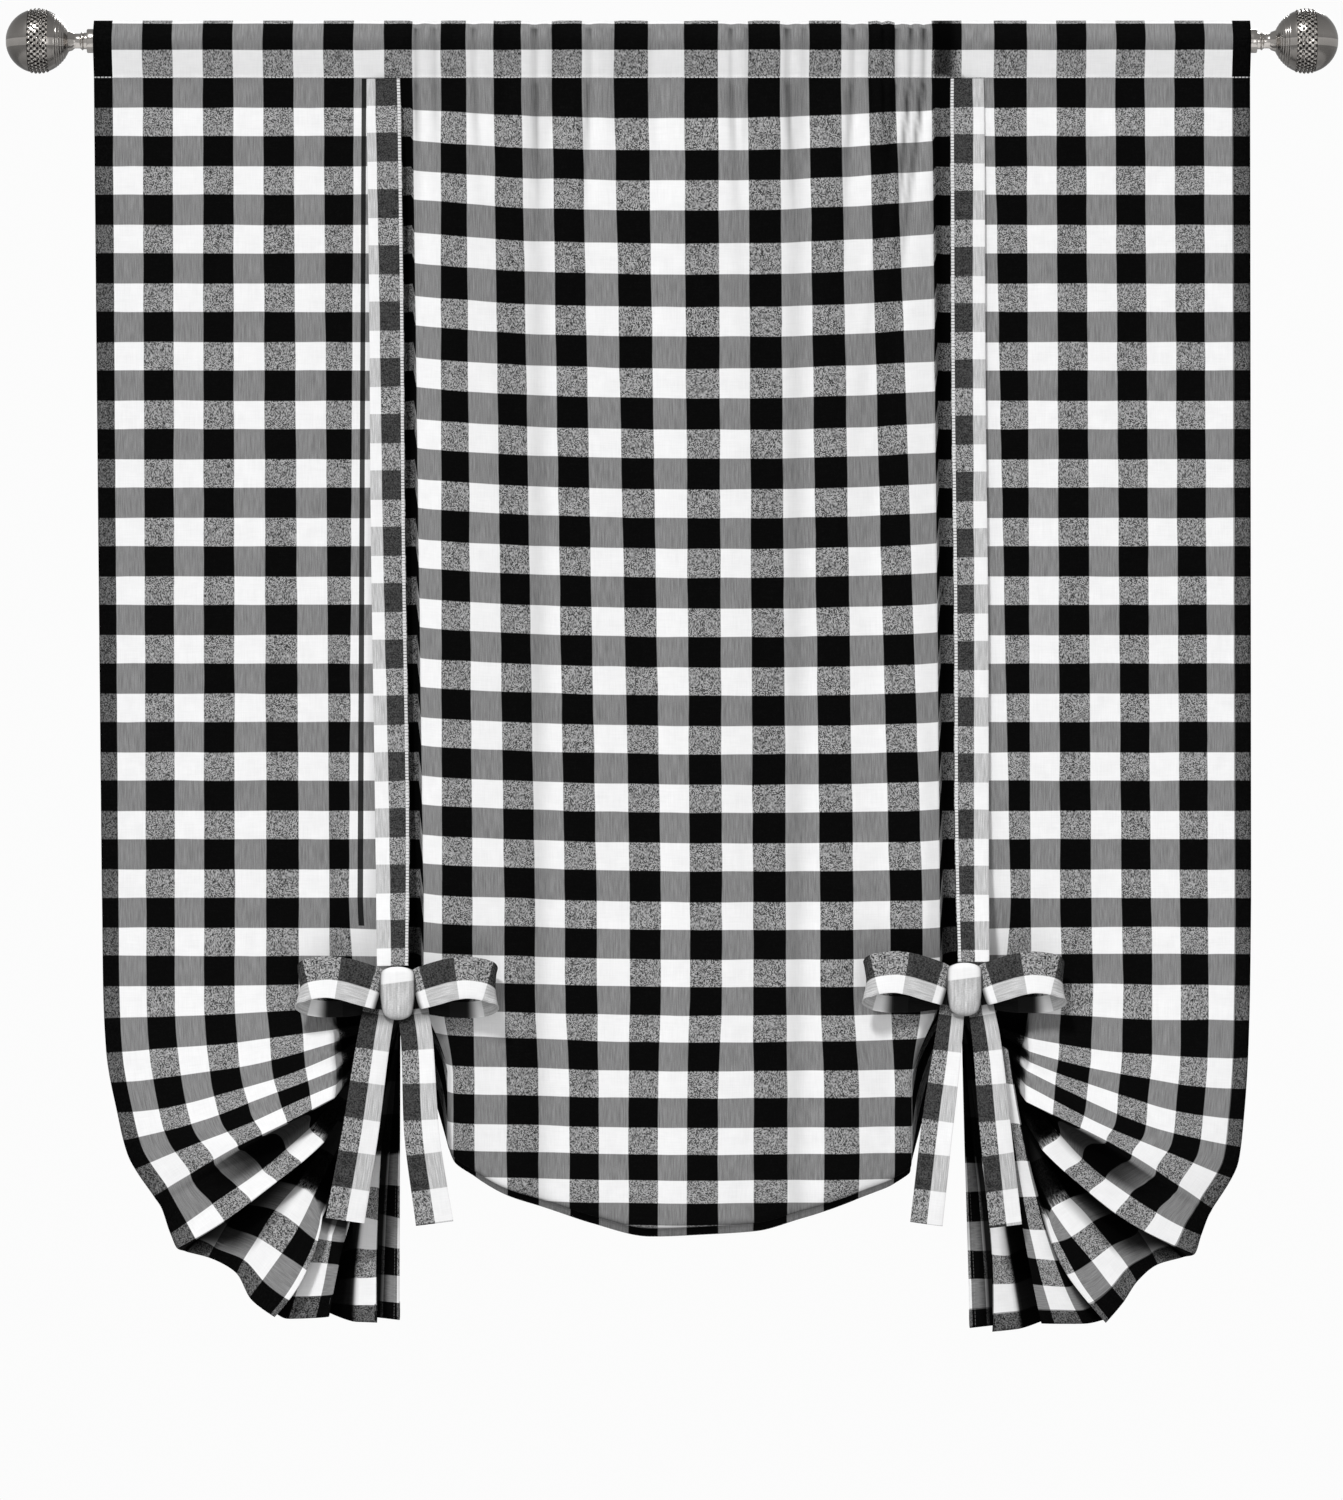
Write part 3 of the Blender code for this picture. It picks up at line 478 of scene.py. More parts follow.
# Depth below the rod, and how much lower the middle panel's bars hang there than the side panels' bars
HANGS_LOWER = (
    (0, 3), (40, 5), (122, 4.5), (185, 9), (236, 13.5), (293, 16.5), (351, 19.5), (460, 22), (571, 24), (682, 24.5),
    (820, 25), (873, 24), (923, 20.5), (975, 18.5), (1028, 16.5), (1073, 11), (1105, 6),
)
GATHERS = (  # x, half the width, depth, reach down the cloth, and slant
    (-236, 5.5, 4.0, 60, 0.00), (-219, 6.0, 2.8, 40, 0.02), (-183, 5.0, 3.2, 44, 0.05), (-158, 6.0, 1.8, 30, 0.0),
    (-127, 6.5, 4.6, 95, 0.03), (-111, 4.5, 2.4, 34, -0.1), (-77, 5.5, 3.6, 62, -0.06), (-55, 6.0, 1.6, 30, 0.0),
    (-20, 7.0, 1.4, 40, 0.04), (14, 6.0, 1.6, 35, 0.0), (54, 5.5, 3.4, 66, 0.05), (69, 5.0, 2.4, 40, -0.05),
    (106, 6.5, 4.6, 100, 0.06), (121, 4.5, 2.4, 40, 0.0), (166, 6.0, 4.0, 80, -0.08), (182, 5.0, 2.6, 44, 0.08),
    (194, 3.5, 5.2, 60, 0.02), (206, 5.0, 5.4, 95, -0.12), (219, 4.5, 5.8, 130, -0.10), (232, 5.0, 6.0, 120, -0.14),
)
depth_here = -points[:, middle_cols, 2] / MM
sag_fade = mix(1.0, SAG_LEFT_AT_BOWS, np.clip(depth_here / BOWS_DOWN, 0, 1))
hangs = read_off(HANGS_LOWER, np.clip(depth_here, 0, HANGS_LOWER[-1][0]))
lower_by = SAG * np.sin(np.pi * places) ** 0.8 * sag_fade + hangs * mix(0.88, 1.08, places)
below_seam = ease((length_down[:, middle_cols] - seam_flat) / 60)
length_down[:, middle_cols] -= lower_by * below_seam * (1 - ease((rows_here - FOLD_ROW) / 10))

x_mm = points[..., 0] / MM
down_mm = length_down - seam_flat
below = np.clip(down_mm, 0, None)
in_pocket = (length_down > 4) & (down_mm <= 0)
pinch = mix(1.25, 0.35, ease(length_down / 30))
reached = (in_pocket | (down_mm > 0)) * (1 - ease((length_down - GATHERS_FADE[0]) / GATHERS_FADE[1]))
gather_shade = np.zeros(x_mm.shape)
for x, half_width, depth, reach, slant in GATHERS:
    off = x_mm - x - slant * below
    wide = half_width * (1 + 0.8 * below / reach)
    strength = np.where(down_mm > 0, np.exp(-below / reach), pinch) * reached
    shoulders = hump(off, 1.7 * wide, wide) + hump(off, -1.7 * wide, wide)
    dent = 0.8 * hump(off, 0, wide) * ease((down_mm - 4) / 22) - np.where(in_pocket, 0.7, 0.45) * shoulders
    points[..., 1] += depth * MM * dent * strength
    points[..., 2] -= 0.35 * depth * MM * hump(off, 0, 0.8 * wide) * hump(length_down, -CREASE_TO_BAR, 7.0)
    gather_shade = np.maximum(gather_shade, 0.17 * depth * hump(off, 0, 0.42 * wide) * strength)

points[..., 1] += 0.3 * MM * hump(down_mm, 0, 3.0) * (length_down > 0)  # the seam draws the cloth in
sway = (np.sin(x_mm / 61 + 0.7) + 0.7 * np.sin(x_mm / 23 + down_mm / 260)) * ease(down_mm / 300)
points[..., 1] += SWAY * MM * sway * (1 - ease((length_down - SWAY_FADE[0]) / SWAY_FADE[1]))
print("gathers:", len(GATHERS), "front of the cloth at", round(float(points[..., 1].min()) / MM, 1), "mm")

# %% [markdown]
# Near the bunch the fans are crumpled into many small pleats that no table could list. They are made by a rule
# instead: waves across the rows that are deepest at the knot and die out towards the hem. Each wave's phase
# drifts with the row, so no two pleats match.

# %% Small pleats in the fans
def on_side(side, start, values, rest=0.0):
    """A number for each column: the values, from the start on inward from the side's hem, and rest elsewhere."""
    line = np.full(points.shape[1], rest)
    line[start: start + len(values)] = values
    return line if side == "left" else line[::-1]


for side in SIDES:
    near = on_side(side, 0, 1 - side_shares)
    far_off = 1 - near
    wave = np.sin(rows_here * 4.1 + 3 * far_off) + 0.6 * np.sin(rows_here * 7.3 + 5 * far_off + 1.3)
    points[..., 1] += 0.8 * MM * near ** 2 * ease((rows_here + 1) / 3) * wave * np.clip(far_off * 8, 0, 1)
    soft = hump(far_off, 0.55, 0.3) * ease((rows_here - 1) / 2) * (near > 0)
    points[..., 2] += 1.4 * MM * soft * np.sin(rows_here * 2.6 + far_off * 9 + (1 if side == "left" else 2.2))
print("pleats added over", len(fold_rows), "rows")

# %% [markdown]
# Hardly any light gets into the bunch behind a knot or down between two folds, and a photograph shows such places
# as black. A rendering's soft light still reaches them, so the cloth carries one more number, its shade: 0 where
# it lies open and 1 deep inside. The material will darken the cloth by it.

# %% Shade inside the folds
SHADE_BY_ROW = (  # row of the fan, how deep in shade it lies, and how far from tip to hem that reaches
    (0, 0, 0.3), (5.1, 0, 0.3), (5.5, 0.95, 0.8), (6.6, 0.9, 0.75), (7.0, 0.6, 0.55), (7.35, 0, 0.3), (8.1, 0, 1),
    (8.4, 1, 1.4), (9.3, 1, 1.15), (10.6, 0.95, 0.95), (11.1, 0.5, 0.8), (11.4, 0, 0.3), (13.1, 0, 1),
    (13.4, 1, 1.5), (14.3, 1, 1.4), (14.9, 0, 1), (16.1, 0, 1), (16.4, 1, 2), (17.88, 1, 2), (18.0, 0.2, 2),
    (18.1, 0, 1), (19.1, 0, 1), (19.4, 1, 2), (20.6, 1, 2), (20.74, 0, 2), (21, 0, 1),
)
LAST_OPEN_STRIPE = 6 + HEM_STRIPE  # in the folds below the first one, the cloth from this stripe on is painted into shade
FLUTE_VALLEYS = (-125, 113)  # where the middle panel's flutes turn away from the light
shade_rows, *shade_columns = zip(*SHADE_BY_ROW)
row_shade, row_reach = (np.interp(rows_here, shade_rows, column) for column in shade_columns)
lower_folds = ease((rows_here - 6.0) / 0.8) * ease((14.0 - rows_here) / 0.6)
light_bar = 0.5 + 0.5 * np.cos(2 * np.pi * (length_down / BAR_REPEAT - 0.5 - BAR_DARK / BAR_REPEAT / 2))
# In the first fold the painted shade's edge bulges round each light bar of the check, so the bar seems to end in a
# round tip
tip_edge = TIP_SHARE * (1 + (0.06 - 0.24 * light_bar) * (1 - ease(rows_here - 5)))
shade = np.zeros(points.shape[:2])
for side in SIDES:
    share_here = on_side(side, 0, side_shares, 2.0)
    web_here = on_side(side, len(side_shares), web_shares)
    from_hem = stripes_across if side == "left" else CLOTH_STRIPES - stripes_across
    inside = ease((tip_edge - share_here) / (TIP_SHARE * 0.16)) * ease(rows_here - 1)
    shade_past_stripe = ease((from_hem - LAST_OPEN_STRIPE) / 0.12) * lower_folds
    between = row_shade * ease((row_reach - (share_here - TIP_SHARE) / (1 - TIP_SHARE)) / 0.35)
    in_fan = np.maximum(np.maximum(inside, shade_past_stripe), between) * (share_here <= 1)
    above_seam = 0.9 * (side == "right") * ease(web_here * 3 - 0.6)
    in_web = (web_here > 0) * np.where(length_down < seam_flat, above_seam, mix(0.45, 0.9, ease(rows_here + 1)))
    shade = np.maximum(shade, np.maximum(in_fan, in_web))
for x in FLUTE_VALLEYS:
    valley = 0.2 * hump(x_mm, x, 10) * (length_down > seam_flat) * (rows_here < FOLD_ROW)
    gather_shade = np.maximum(gather_shade, valley)
shade = np.maximum(shade, np.clip(gather_shade, 0, 0.8))
fold_edge = 0.85 * hump(rows_here, FOLD_ROW, 0.5)  # the swag's lower edge turns away from the light
shade[:, middle_cols] = np.maximum(shade[:, middle_cols], fold_edge)
print("share of the cloth in deep shade:", round(float((shade > 0.5).mean()), 3))

# %% [markdown]
# ## Turning the edges over
# A hem is the cloth folded back on itself and stitched. Each edge gets a few extra points: round the fold, then
# flat behind the panel. They are placed with the sheet's own directions, inward along the row and backward along
# its normal, so the hem stays behind the cloth however it twists.

# %% Hems
HEM_TURN = np.array(((0.5, 0.7), (3.0, 1.5), (10.0, 1.6), (17.0, 1.4)))  # inward and behind, in millimetres
hem_far, hem_count = HEM_TURN[:, 0], len(HEM_TURN)


def unit(vectors):
    return vectors / np.maximum(np.linalg.norm(vectors, axis=-1, keepdims=True), 1e-9)


def turned_edge(edge, inner, along, back_side):
    """Points that fold a row or column of edge points back behind the sheet, outermost first."""
    inward = unit(inner - edge)
    behind = unit(np.cross(inward, unit(along))) * back_side
    return np.array([edge + (inward * far + behind * deep) * MM for far, deep in HEM_TURN])


along = np.gradient(points, axis=0)
left_hem = turned_edge(points[:, 0], points[:, 2], along[:, 0], 1)[::-1]
right_hem = turned_edge(points[:, -1], points[:, -3], along[:, -1], -1)
points = np.concatenate((left_hem.swapaxes(0, 1), points, right_hem.swapaxes(0, 1)), axis=1)
across = np.gradient(points[-1], axis=0)
across[: hem_count + 2] = across[hem_count + 2]  # the side hems run backwards, so they take their neighbours' way
across[-hem_count - 2:] = across[-hem_count - 3]
points = np.concatenate((points, turned_edge(points[-1], points[-3], across, 1)))
beside = np.tile(hem_far / STRIPE, (len(stripes_across), 1))
stripes_across = np.concatenate((-beside[:, ::-1], stripes_across, CLOTH_STRIPES + beside), axis=1)
stripes_across = np.pad(stripes_across, ((0, hem_count), (0, 0)), mode="edge")
length_down = np.pad(length_down, ((0, hem_count), (hem_count, hem_count)), mode="edge")
length_down[-hem_count:] = FLAT_LENGTH + hem_far[:, None]
shade = np.pad(shade, ((0, hem_count), (hem_count, hem_count)), mode="edge")
print("with its hems the cloth has", points.shape[0] * points.shape[1], "points")

# %% [markdown]
# ## One mesh for the cloth
# `create_grid` makes the faces and their order, and then each vertex only has to be moved to its place. The UV
# map called "flat" is in decimetres, so a node can read it as a real distance.

# %% The sheet's mesh
DECIMETRE = 100.0  # millimetres


def grid_mesh(name, points, flat, closed_round=False, edge=None):
    """A mesh over an array of points [row, column, axis], with flat [row, column, 2] as its UV map. Cloth also
    gets a map called edge: its first number runs from -1 to 1 at a tie's stitched edge, its second is the shade."""
    rows, columns = points.shape[:2]
    grid = bmesh.new()
    bmesh.ops.create_grid(grid, x_segments=columns - 1, y_segments=rows - 1, size=1)
    for vertex, point in zip(grid.verts, points.reshape(-1, 3)):
        vertex.co = point
    grid.verts.index_update()
    for layer_name, values in {"flat": flat / DECIMETRE, "edge": edge}.items():
        if values is None:
            continue
        layer = grid.loops.layers.uv.new(layer_name)
        values = values.reshape(-1, 2)
        for face in grid.faces:
            for loop in face.loops:
                loop[layer].uv = values[loop.vert.index]
    if closed_round:
        bmesh.ops.remove_doubles(grid, verts=grid.verts, dist=1e-6)
    mesh = bpy.data.meshes.new(name)
    grid.to_mesh(mesh)
    grid.free()
    mesh.shade_smooth()
    return mesh


def add_piece(name, mesh):
    piece = bpy.data.objects.new(name, mesh)
    bpy.context.scene.collection.objects.link(piece)
    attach(piece, "root")
    return piece


panel_mesh = grid_mesh("shade_panel", points, joined(stripes_across * STRIPE, length_down), edge=joined(0.0, shade))
cloth = add_piece("shade_panel", panel_mesh)
print("cloth mesh:", len(cloth.data.polygons), "faces")

# %% [markdown]
# ## Ties and bows
# A tie is a narrow tube of the same check, pressed flat, so it has two layers and rounded edges. One helper
# makes all of them: it carries a flat oval section along a path.

# %% Ribbons
TIE_WIDTH = 32.0
TIE_THICK = 1.8
WAVE_LENGTH = 37  # a tie's small waves turn by one radian over this length
SECTION_POINTS = 20


def rounded(wave, power):
    """A wave with its shoulders filled out, the more so the smaller the power."""
    return np.sign(wave) * np.abs(wave) ** power


section_angle = np.linspace(0, 2 * np.pi, SECTION_POINTS + 1)
ACROSS, THROUGH = rounded(np.cos(section_angle), 0.35), rounded(np.sin(section_angle), 0.8)


def ribbon(name, path, width_way, widths, lane_from, flat_from, crown=0.0, waves=0.0, phase=0.0, flat_scale=1.0,
           stitched=0, shades=0.0):
    """A flat tube along a path. width_way are unit directions of its width, and lane_from and flat_from say where
    on the check it was cut: its low edge across and its start along, both in millimetres. stitched is 1 or -1 for
    the edge that shows its stitches and 0 for none. shades is how deep in shade it lies along the path."""
    forward = unit(np.gradient(path, axis=0))
    width_way = unit(width_way - forward * np.sum(width_way * forward, axis=1, keepdims=True))
    through_way = np.cross(forward, width_way)
    far = walked(path)
    down = far[:, None] / MM
    bulge = crown * (1 - ACROSS ** 2) + waves * np.sin(ACROSS * 7 + phase + down / WAVE_LENGTH)
    wide, thick = ACROSS * widths[:, None] / 2, THROUGH * TIE_THICK / 2 + bulge
    points = path[:, None] + (width_way[:, None] * wide[..., None] + through_way[:, None] * thick[..., None]) * MM
    lanes = np.reshape(lane_from, (-1, 1)) + (ACROSS + 1) / 2 * TIE_WIDTH
    maps = joined(lanes, flat_from + down * flat_scale, ACROSS * stitched, np.reshape(shades, (-1, 1)))
    mesh = grid_mesh(name, points, maps[..., :2], closed_round=True, edge=maps[..., 2:])
    close = bmesh.new()
    close.from_mesh(mesh)
    bmesh.ops.holes_fill(close, edges=[e for e in close.edges if e.is_boundary], sides=0)
    bmesh.ops.recalc_face_normals(close, faces=close.faces)
    close.to_mesh(mesh)
    close.free()
    mesh.shade_smooth()
    mesh.set_sharp_from_angle(angle=math.radians(60))
    piece = add_piece(name, mesh)
    return piece


print("a tie is", TIE_WIDTH, "mm wide and", TIE_THICK, "mm thick")

# %% [markdown]
# Each pair of ties starts at the pocket's seam, one in front of the cloth and one behind it. The front one hangs
# close to the cloth and comes forward only where it runs over the bow's knot. The back one is hidden in the
# photograph, so it is kept plain. Tables of a few places down the tie are enough for both.

# %% The front and back ties
KNOT_HALF_HEIGHT = 24.5
TIE_STEPS = 90
# How far down the tie, how far forward it lies there, and its width
FRONT_TIE = ((0, 2.4, 31), (0.04, 3.0, 32), (0.2, 4.6, 32), (0.5, 5.0, 32), (0.8, 5.2, 32), (0.9, 10.5, 31),
             (0.96, 21, 30), (1, 28.5, 29))
BACK_TIE = ((0, -2.6, 29), (0.05, -6, 29), (0.2, -14, 29), (0.5, -14.5, 29), (0.8, -14, 29), (0.93, -20, 27),
            (1, -31, 26))
# Where on the check each front tie was cut: its left edge across at the top and at the knot, its top end along,
# and the edge that shows its stitches. A strip cut a little off the thread lets the stripe wander across it.
FRONT_CUT = {"left": (37.6, 31.6, 2.0, 1), "right": (52.2, 56.4, 0.5, -1)}
FRONT_STRETCH = 1.04
for side, knot in KNOTS.items():
    lane_top, lane_low, start, stitched = FRONT_CUT[side]
    for face, table, below_knot in (("front", FRONT_TIE, -KNOT_HALF_HEIGHT - 0.6), ("back", BACK_TIE, 22)):
        share = np.linspace(0, 1, TIE_STEPS)
        wander = 0.6 * MM * np.sin(share * 9 + (0 if side == "left" else 2)) * np.sin(np.pi * share)
        path = joined(mix(*TIE_LINES[side], share) + wander, -read_off(table, share) * MM,
                      mix(POCKET_SEAM - 0.001, knot.z - below_knot * MM, share))
        tie = ribbon(f"{face}_tie_{side}_strip", path, np.tile((1, 0, 0), (len(path), 1)),
                     read_off(table, share, 2), mix(lane_top, lane_low, share), start,
                     flat_scale=FRONT_STRETCH, stitched=stitched)
        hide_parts(f"{face}_tie_{side}")
print("four ties made")

# %% [markdown]
# The knot is the tie wrapped once round the gathers. It is a short sleeve with a full front, drawn in at its top
# and bottom, and its few creases run across it where the wrap is pulled tight. The sleeve is one grid closed into
# a ring, with its rims rolled inward.

# %% Knots
wide, deep, tall = KNOT_SIZE = (31.5, 15.5, 49.0)
KNOT_RINGS, KNOT_ROUND = 30, 56
KNOT_SQUARE = 0.42  # the sleeve's section is a rounded square
RIM = 1.6
level = rounded(np.linspace(-1, 1, KNOT_RINGS), 0.8)[:, None]  # -1 at the top of the knot and 1 at its bottom
up, low = np.clip(-level, 0, 1), np.clip(level, 0, 1)
angle = np.linspace(0, 2 * np.pi, KNOT_ROUND + 1)
round_x, round_y = rounded(np.sin(angle), KNOT_SQUARE), -rounded(np.cos(angle), KNOT_SQUARE)
roll = 1 - 0.36 * np.abs(level) ** 14
crease = 0.5 * np.sin(level * 5 + 1.2 * np.sin(angle * 2)) * np.exp(-np.abs(round_x) * 1.2)
x = wide / 2 * round_x * (1 - 0.02 * up ** 2 - 0.2 * low ** 1.6) * roll
y = (deep / 2 * (1 - 0.22 * level ** 2) * roll + crease) * round_y
z = -level * (tall / 2 - RIM) - RIM * (1 - round_x ** 2) * level * (np.abs(level) > 0.5)
lanes = HEM_STRIPE * STRIPE + 14 + x * 0.4
bars = BAR_DARK + 14.9 + 0.09 * x + (-z + tall / 2) * 0.77
rim_shade = np.clip(0.8 * np.abs(round_x) ** 9 + 0.5 * low ** 8, 0, 0.8)
for side, knot in KNOTS.items():
    wrap = joined(knot.x + x * MM, knot.y + y * MM, knot.z + z * MM)
    mesh = grid_mesh(f"knot_{side}_wrap", wrap, joined(lanes, bars), closed_round=True, edge=joined(0.0, rim_shade))
    piece = add_piece(f"knot_{side}_wrap", mesh)
    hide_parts(f"knot_{side}")
    2 * (wide + deep) * 0.9 * MM
print("knots wrapped,", KNOT_SIZE, "mm")

# %% [markdown]
# A loop leaves the knot, rises as it goes out, turns round its far end and comes back lower and behind, so the
# opening under its front run shows its inside. All four loops use one table. Tied by hand, no two are quite alike,
# so each gets its own reach, lift and lean.

# %% Loops
# How far out, back and up from the knot's middle each place on a loop lies, and its width there
LOOP = np.array((
    (15.6, 0, 2.5, 37), (24, -3, 6, 39), (36, -6, 10, 39.5), (50, -8, 14, 39), (64, -8.5, 15.8, 38.5),
    (77, -7, 14.5, 38), (85.5, -3, 11.5, 38), (89, 3, 7, 38), (86.5, 8.5, 1.5, 37), (78, 11.5, -3, 36),
    (64, 12, -5, 35), (48, 10, -5, 34), (32, 7, -4, 32), (15.6, 4, -3, 30),
), float)
LOOP_LEAN = 82  # a loop stands almost upright, its top edge a little further back
LOOP_STEPS = 96
LOOP_CHARACTER = {  # reach, lift and lean
    "left_outer": (1.01, -0.6, 0), "left_inner": (0.99, -1.5, 1), "right_outer": (1.0, 0, 0),
    "right_inner": (1.01, 0.5, -1),
}
LOOP_LANE = 31.8  # the lower part of a loop shows a white stripe and its upper part a black one
LOOP_BAR = BAR_REPEAT - 9.5
LOOP_STRETCH = 0.9
share = np.linspace(0, 1, LOOP_STEPS)
for name, (reach, lift, lean_more) in LOOP_CHARACTER.items():
    side, where = name.split("_")
    knot, outward = KNOTS[side], SIDES[side] * (1 if where == "outer" else -1)
    table = LOOP.copy()
    table[:, 0] = mix(LOOP[0, 0], LOOP[:, 0], reach)
    table[:, 2] += lift * np.sin(np.pi * np.arange(len(table)) / (len(table) - 1))
    far = walked(table[:, :3], 1e-9)
    out, back, up, widths = (through(far, column, np.linspace(0, far[-1], LOOP_STEPS)) for column in table.T)
    path = joined(knot.x + outward * out * MM, knot.y + back * MM, knot.z + up * MM)
    lean = math.radians(LOOP_LEAN + lean_more)
    shades = np.maximum(ease((share - 0.64) / 0.06), 0.95 * (1 - ease(share / 0.03)))
    loop = ribbon(f"loop_{name}_ribbon", path, np.tile((0, math.cos(lean), math.sin(lean)), (LOOP_STEPS, 1)),
                  widths, LOOP_LANE, LOOP_BAR, crown=0.4, waves=0.35, phase=lift, flat_scale=LOOP_STRETCH,
                  shades=shades)
    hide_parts(f"loop_{name}")
print("four loops made")

# %% [markdown]
# The free ends hang from under the knot. Each spreads to its full width just below it, swings aside and
# ends in a straight cut with its raw edge turned in. A slow twist keeps them from looking like card.

# %% Free ends
# How far out from the knot's middle each end hangs at four places down its length, its length below the knot, its
# twist and its widths
TAILS = {
    "left_outer": ((17, 22, 33, 48), 184, 10, (29.5, 30.5, 33.5, 36)),
    "left_inner": ((-14, -18, -22, -34), 187, -8, (28.5, 29.5, 32.5, 35)),
    "right_outer": ((15, 20, 28, 38), 193, 9, (23.5, 26, 29.5, 30)),
    "right_inner": ((-11, -14.5, -25, -35), 191, -12, (22.5, 25, 29.5, 30)),
}
TAIL_PLACES = (0, 0.15, 0.55, 1)
TAIL_START = 15  # below the knot's middle, where each end is still hidden behind the loops
TAIL_CUT = (57.0, {"left": -3.5, "right": -7.5})  # across the check, and along it
TAIL_STRETCH, TAIL_STEPS = 0.84, 72
share = np.linspace(0, 1, TAIL_STEPS)
for name, (outs, length, twist, widths) in TAILS.items():
    side = name.split("_")[0]
    knot = KNOTS[side]
    out = SIDES[side] * through(TAIL_PLACES, outs, share)
    back = 1.5 - 6 * np.sin(np.pi * share) - 2 * share + 1.2 * np.sin(share * 8 + outs[1]) * share
    low = mix(TAIL_START, KNOT_HALF_HEIGHT + length, share)
    path = joined(knot.x + out * MM, knot.y + back * MM, knot.z - low * MM)
    turn = np.radians(twist) * np.sin(share * 2.4)
    tail = ribbon(f"tail_{name}_ribbon", path, joined(np.cos(turn), np.sin(turn), 0.0),
                  through(TAIL_PLACES, widths, share), TAIL_CUT[0], TAIL_CUT[1][side], crown=0.25, waves=0.3,
                  phase=outs[1], flat_scale=TAIL_STRETCH, shades=0.8 * (1 - ease(share / 0.09)))
    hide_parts(f"tail_{name}")
print("four free ends made")

# %% [markdown]
# ## The rod and its ends
# The ends are turned balls of brushed nickel with a band of small raised beads round the middle and fine rings
# towards the neck. A profile with a Screw modifier would turn the ball too, but a grid closed into a ring gives
# the same shape and an even UV. The 230 beads of a ball are joined to its mesh, because hundreds of objects would
# be slow.

# %% The turned ends
NECK_RADIUS, NECK_LENGTH, COLLAR_RADIUS = 6.8, 11.5, 8.5
BALL_RADIUS, BALL_LENGTH = 29.5, 60.0
# Measured from the ball's far end: the beaded band, and the fine rings near the neck
BAND_FROM, BAND_TO, BAND_DEPTH = 22.0, 40.0, 0.9
RINGS_FROM, RINGS_TO, RING_HEIGHT = 46.0, 56.0, 0.35
BEAD_ROWS, BEAD_COUNT, BEAD_RADIUS = 5, 46, 1.25
TURN_STEPS, PROFILE_STEPS = 128, 110
TUBE_END = [(0, 0), (0, 7.4), (0.2, 7.6), (3.2, 7.6), (3.4, 10.6), (4.0, 11.0)]


def ball_radius(from_far_end):
    """The ball's radius at a distance from its far end, slimmer towards its neck."""
    middle = (from_far_end - BALL_LENGTH / 2) / (BALL_LENGTH / 2)
    slim = 1 - 0.10 * np.clip(middle, 0, 1) ** 2
    return BALL_RADIUS * np.sqrt(np.clip(1 - middle ** 2, 0, 1)) * slim


def end_profile():
    """(distance from the rod's end, radius) from the rod out to the ball's far end, with grooves and rings."""
    neck = [(0, 0), (0, COLLAR_RADIUS - 0.4), (0.3, COLLAR_RADIUS), (1.0, COLLAR_RADIUS), (2.2, NECK_RADIUS + 0.4),
            (3.2, NECK_RADIUS), (7.5, NECK_RADIUS), (8.6, NECK_RADIUS + 0.5), (9.6, COLLAR_RADIUS)]
    far = np.linspace(BALL_LENGTH - 1.0, 0, PROFILE_STEPS)
    plain = ball_radius(far)
    groove = BAND_DEPTH * ((far > BAND_FROM) & (far < BAND_TO))
    rings = RING_HEIGHT * np.sin((far - RINGS_FROM) * math.pi) * ((far > RINGS_FROM) & (far < RINGS_TO))
    ball = joined(NECK_LENGTH + BALL_LENGTH - far, np.clip(plain - groove + rings, 0, None))
    return np.concatenate((neck, ball[(plain >= COLLAR_RADIUS) | (far <= BALL_LENGTH / 2)]))


def turned_mesh(name, profile, start_x, outward):
    angle = np.linspace(0, 2 * np.pi, TURN_STEPS + 1)
    far, radius = profile[:, :1], profile[:, 1:]
    ring = joined(start_x + outward * far * MM, radius * MM * np.cos(angle), radius * MM * np.sin(angle))
    mesh = grid_mesh(name, ring, joined(angle * BALL_RADIUS, far), closed_round=True)
    mesh.set_sharp_from_angle(angle=math.radians(50))
    return mesh


def add_beads(mesh, start_x, outward):
    """Rows of small round beads in the band, in the same mesh."""
    body = bmesh.new()
    body.from_mesh(mesh)
    for row in range(BEAD_ROWS):
        far = mix(BAND_FROM, BAND_TO, (row + 0.5) / BEAD_ROWS)
        radius = (float(ball_radius(far)) - 0.5) * MM
        for k in range(BEAD_COUNT):
            angle = 2 * math.pi * (k + 0.5 * (row % 2)) / BEAD_COUNT
            place = Vector((start_x + outward * (NECK_LENGTH + BALL_LENGTH - far) * MM,
                            radius * math.cos(angle), radius * math.sin(angle)))
            made = bmesh.ops.create_icosphere(body, subdivisions=1, radius=BEAD_RADIUS * MM)
            bmesh.ops.translate(body, verts=made["verts"], vec=place)
    body.to_mesh(mesh)
    body.free()
    mesh.shade_smooth()


for side, outward in SIDES.items():
    rod_end = (rod_high.x if outward > 0 else rod_low.x) + outward * GAP
    mesh = turned_mesh(f"ball_{side}", end_profile(), rod_end, outward)
    add_beads(mesh, rod_end, outward)
    ball = add_piece(f"ball_end_{side}", mesh)
    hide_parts(f"finial_{side}")
print("ball ends:", len(mesh.polygons), "faces each")

rod_length = (rod_high.x - rod_low.x) / MM
rod_profile = np.array(TUBE_END + [(x, TUBE_END[-1][1]) for x in np.linspace(8, rod_length - 8, 12)]
                       + [(rod_length - x, radius) for x, radius in TUBE_END[::-1]])
rod = add_piece("rod_tube", turned_mesh("rod_tube", rod_profile, rod_low.x, 1))
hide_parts("rod")

# %% [markdown]
# ## The cloth's flat length, and the solid it replaces
# The panel was cut with its hems, its pocket and the turned-in edge, so its flat size is larger than the window
# it covers.

FLAT_TOTAL = (FLAT_LENGTH - pocket_flat[0] + hem_far[-1]) * MM
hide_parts("shade_cloth")

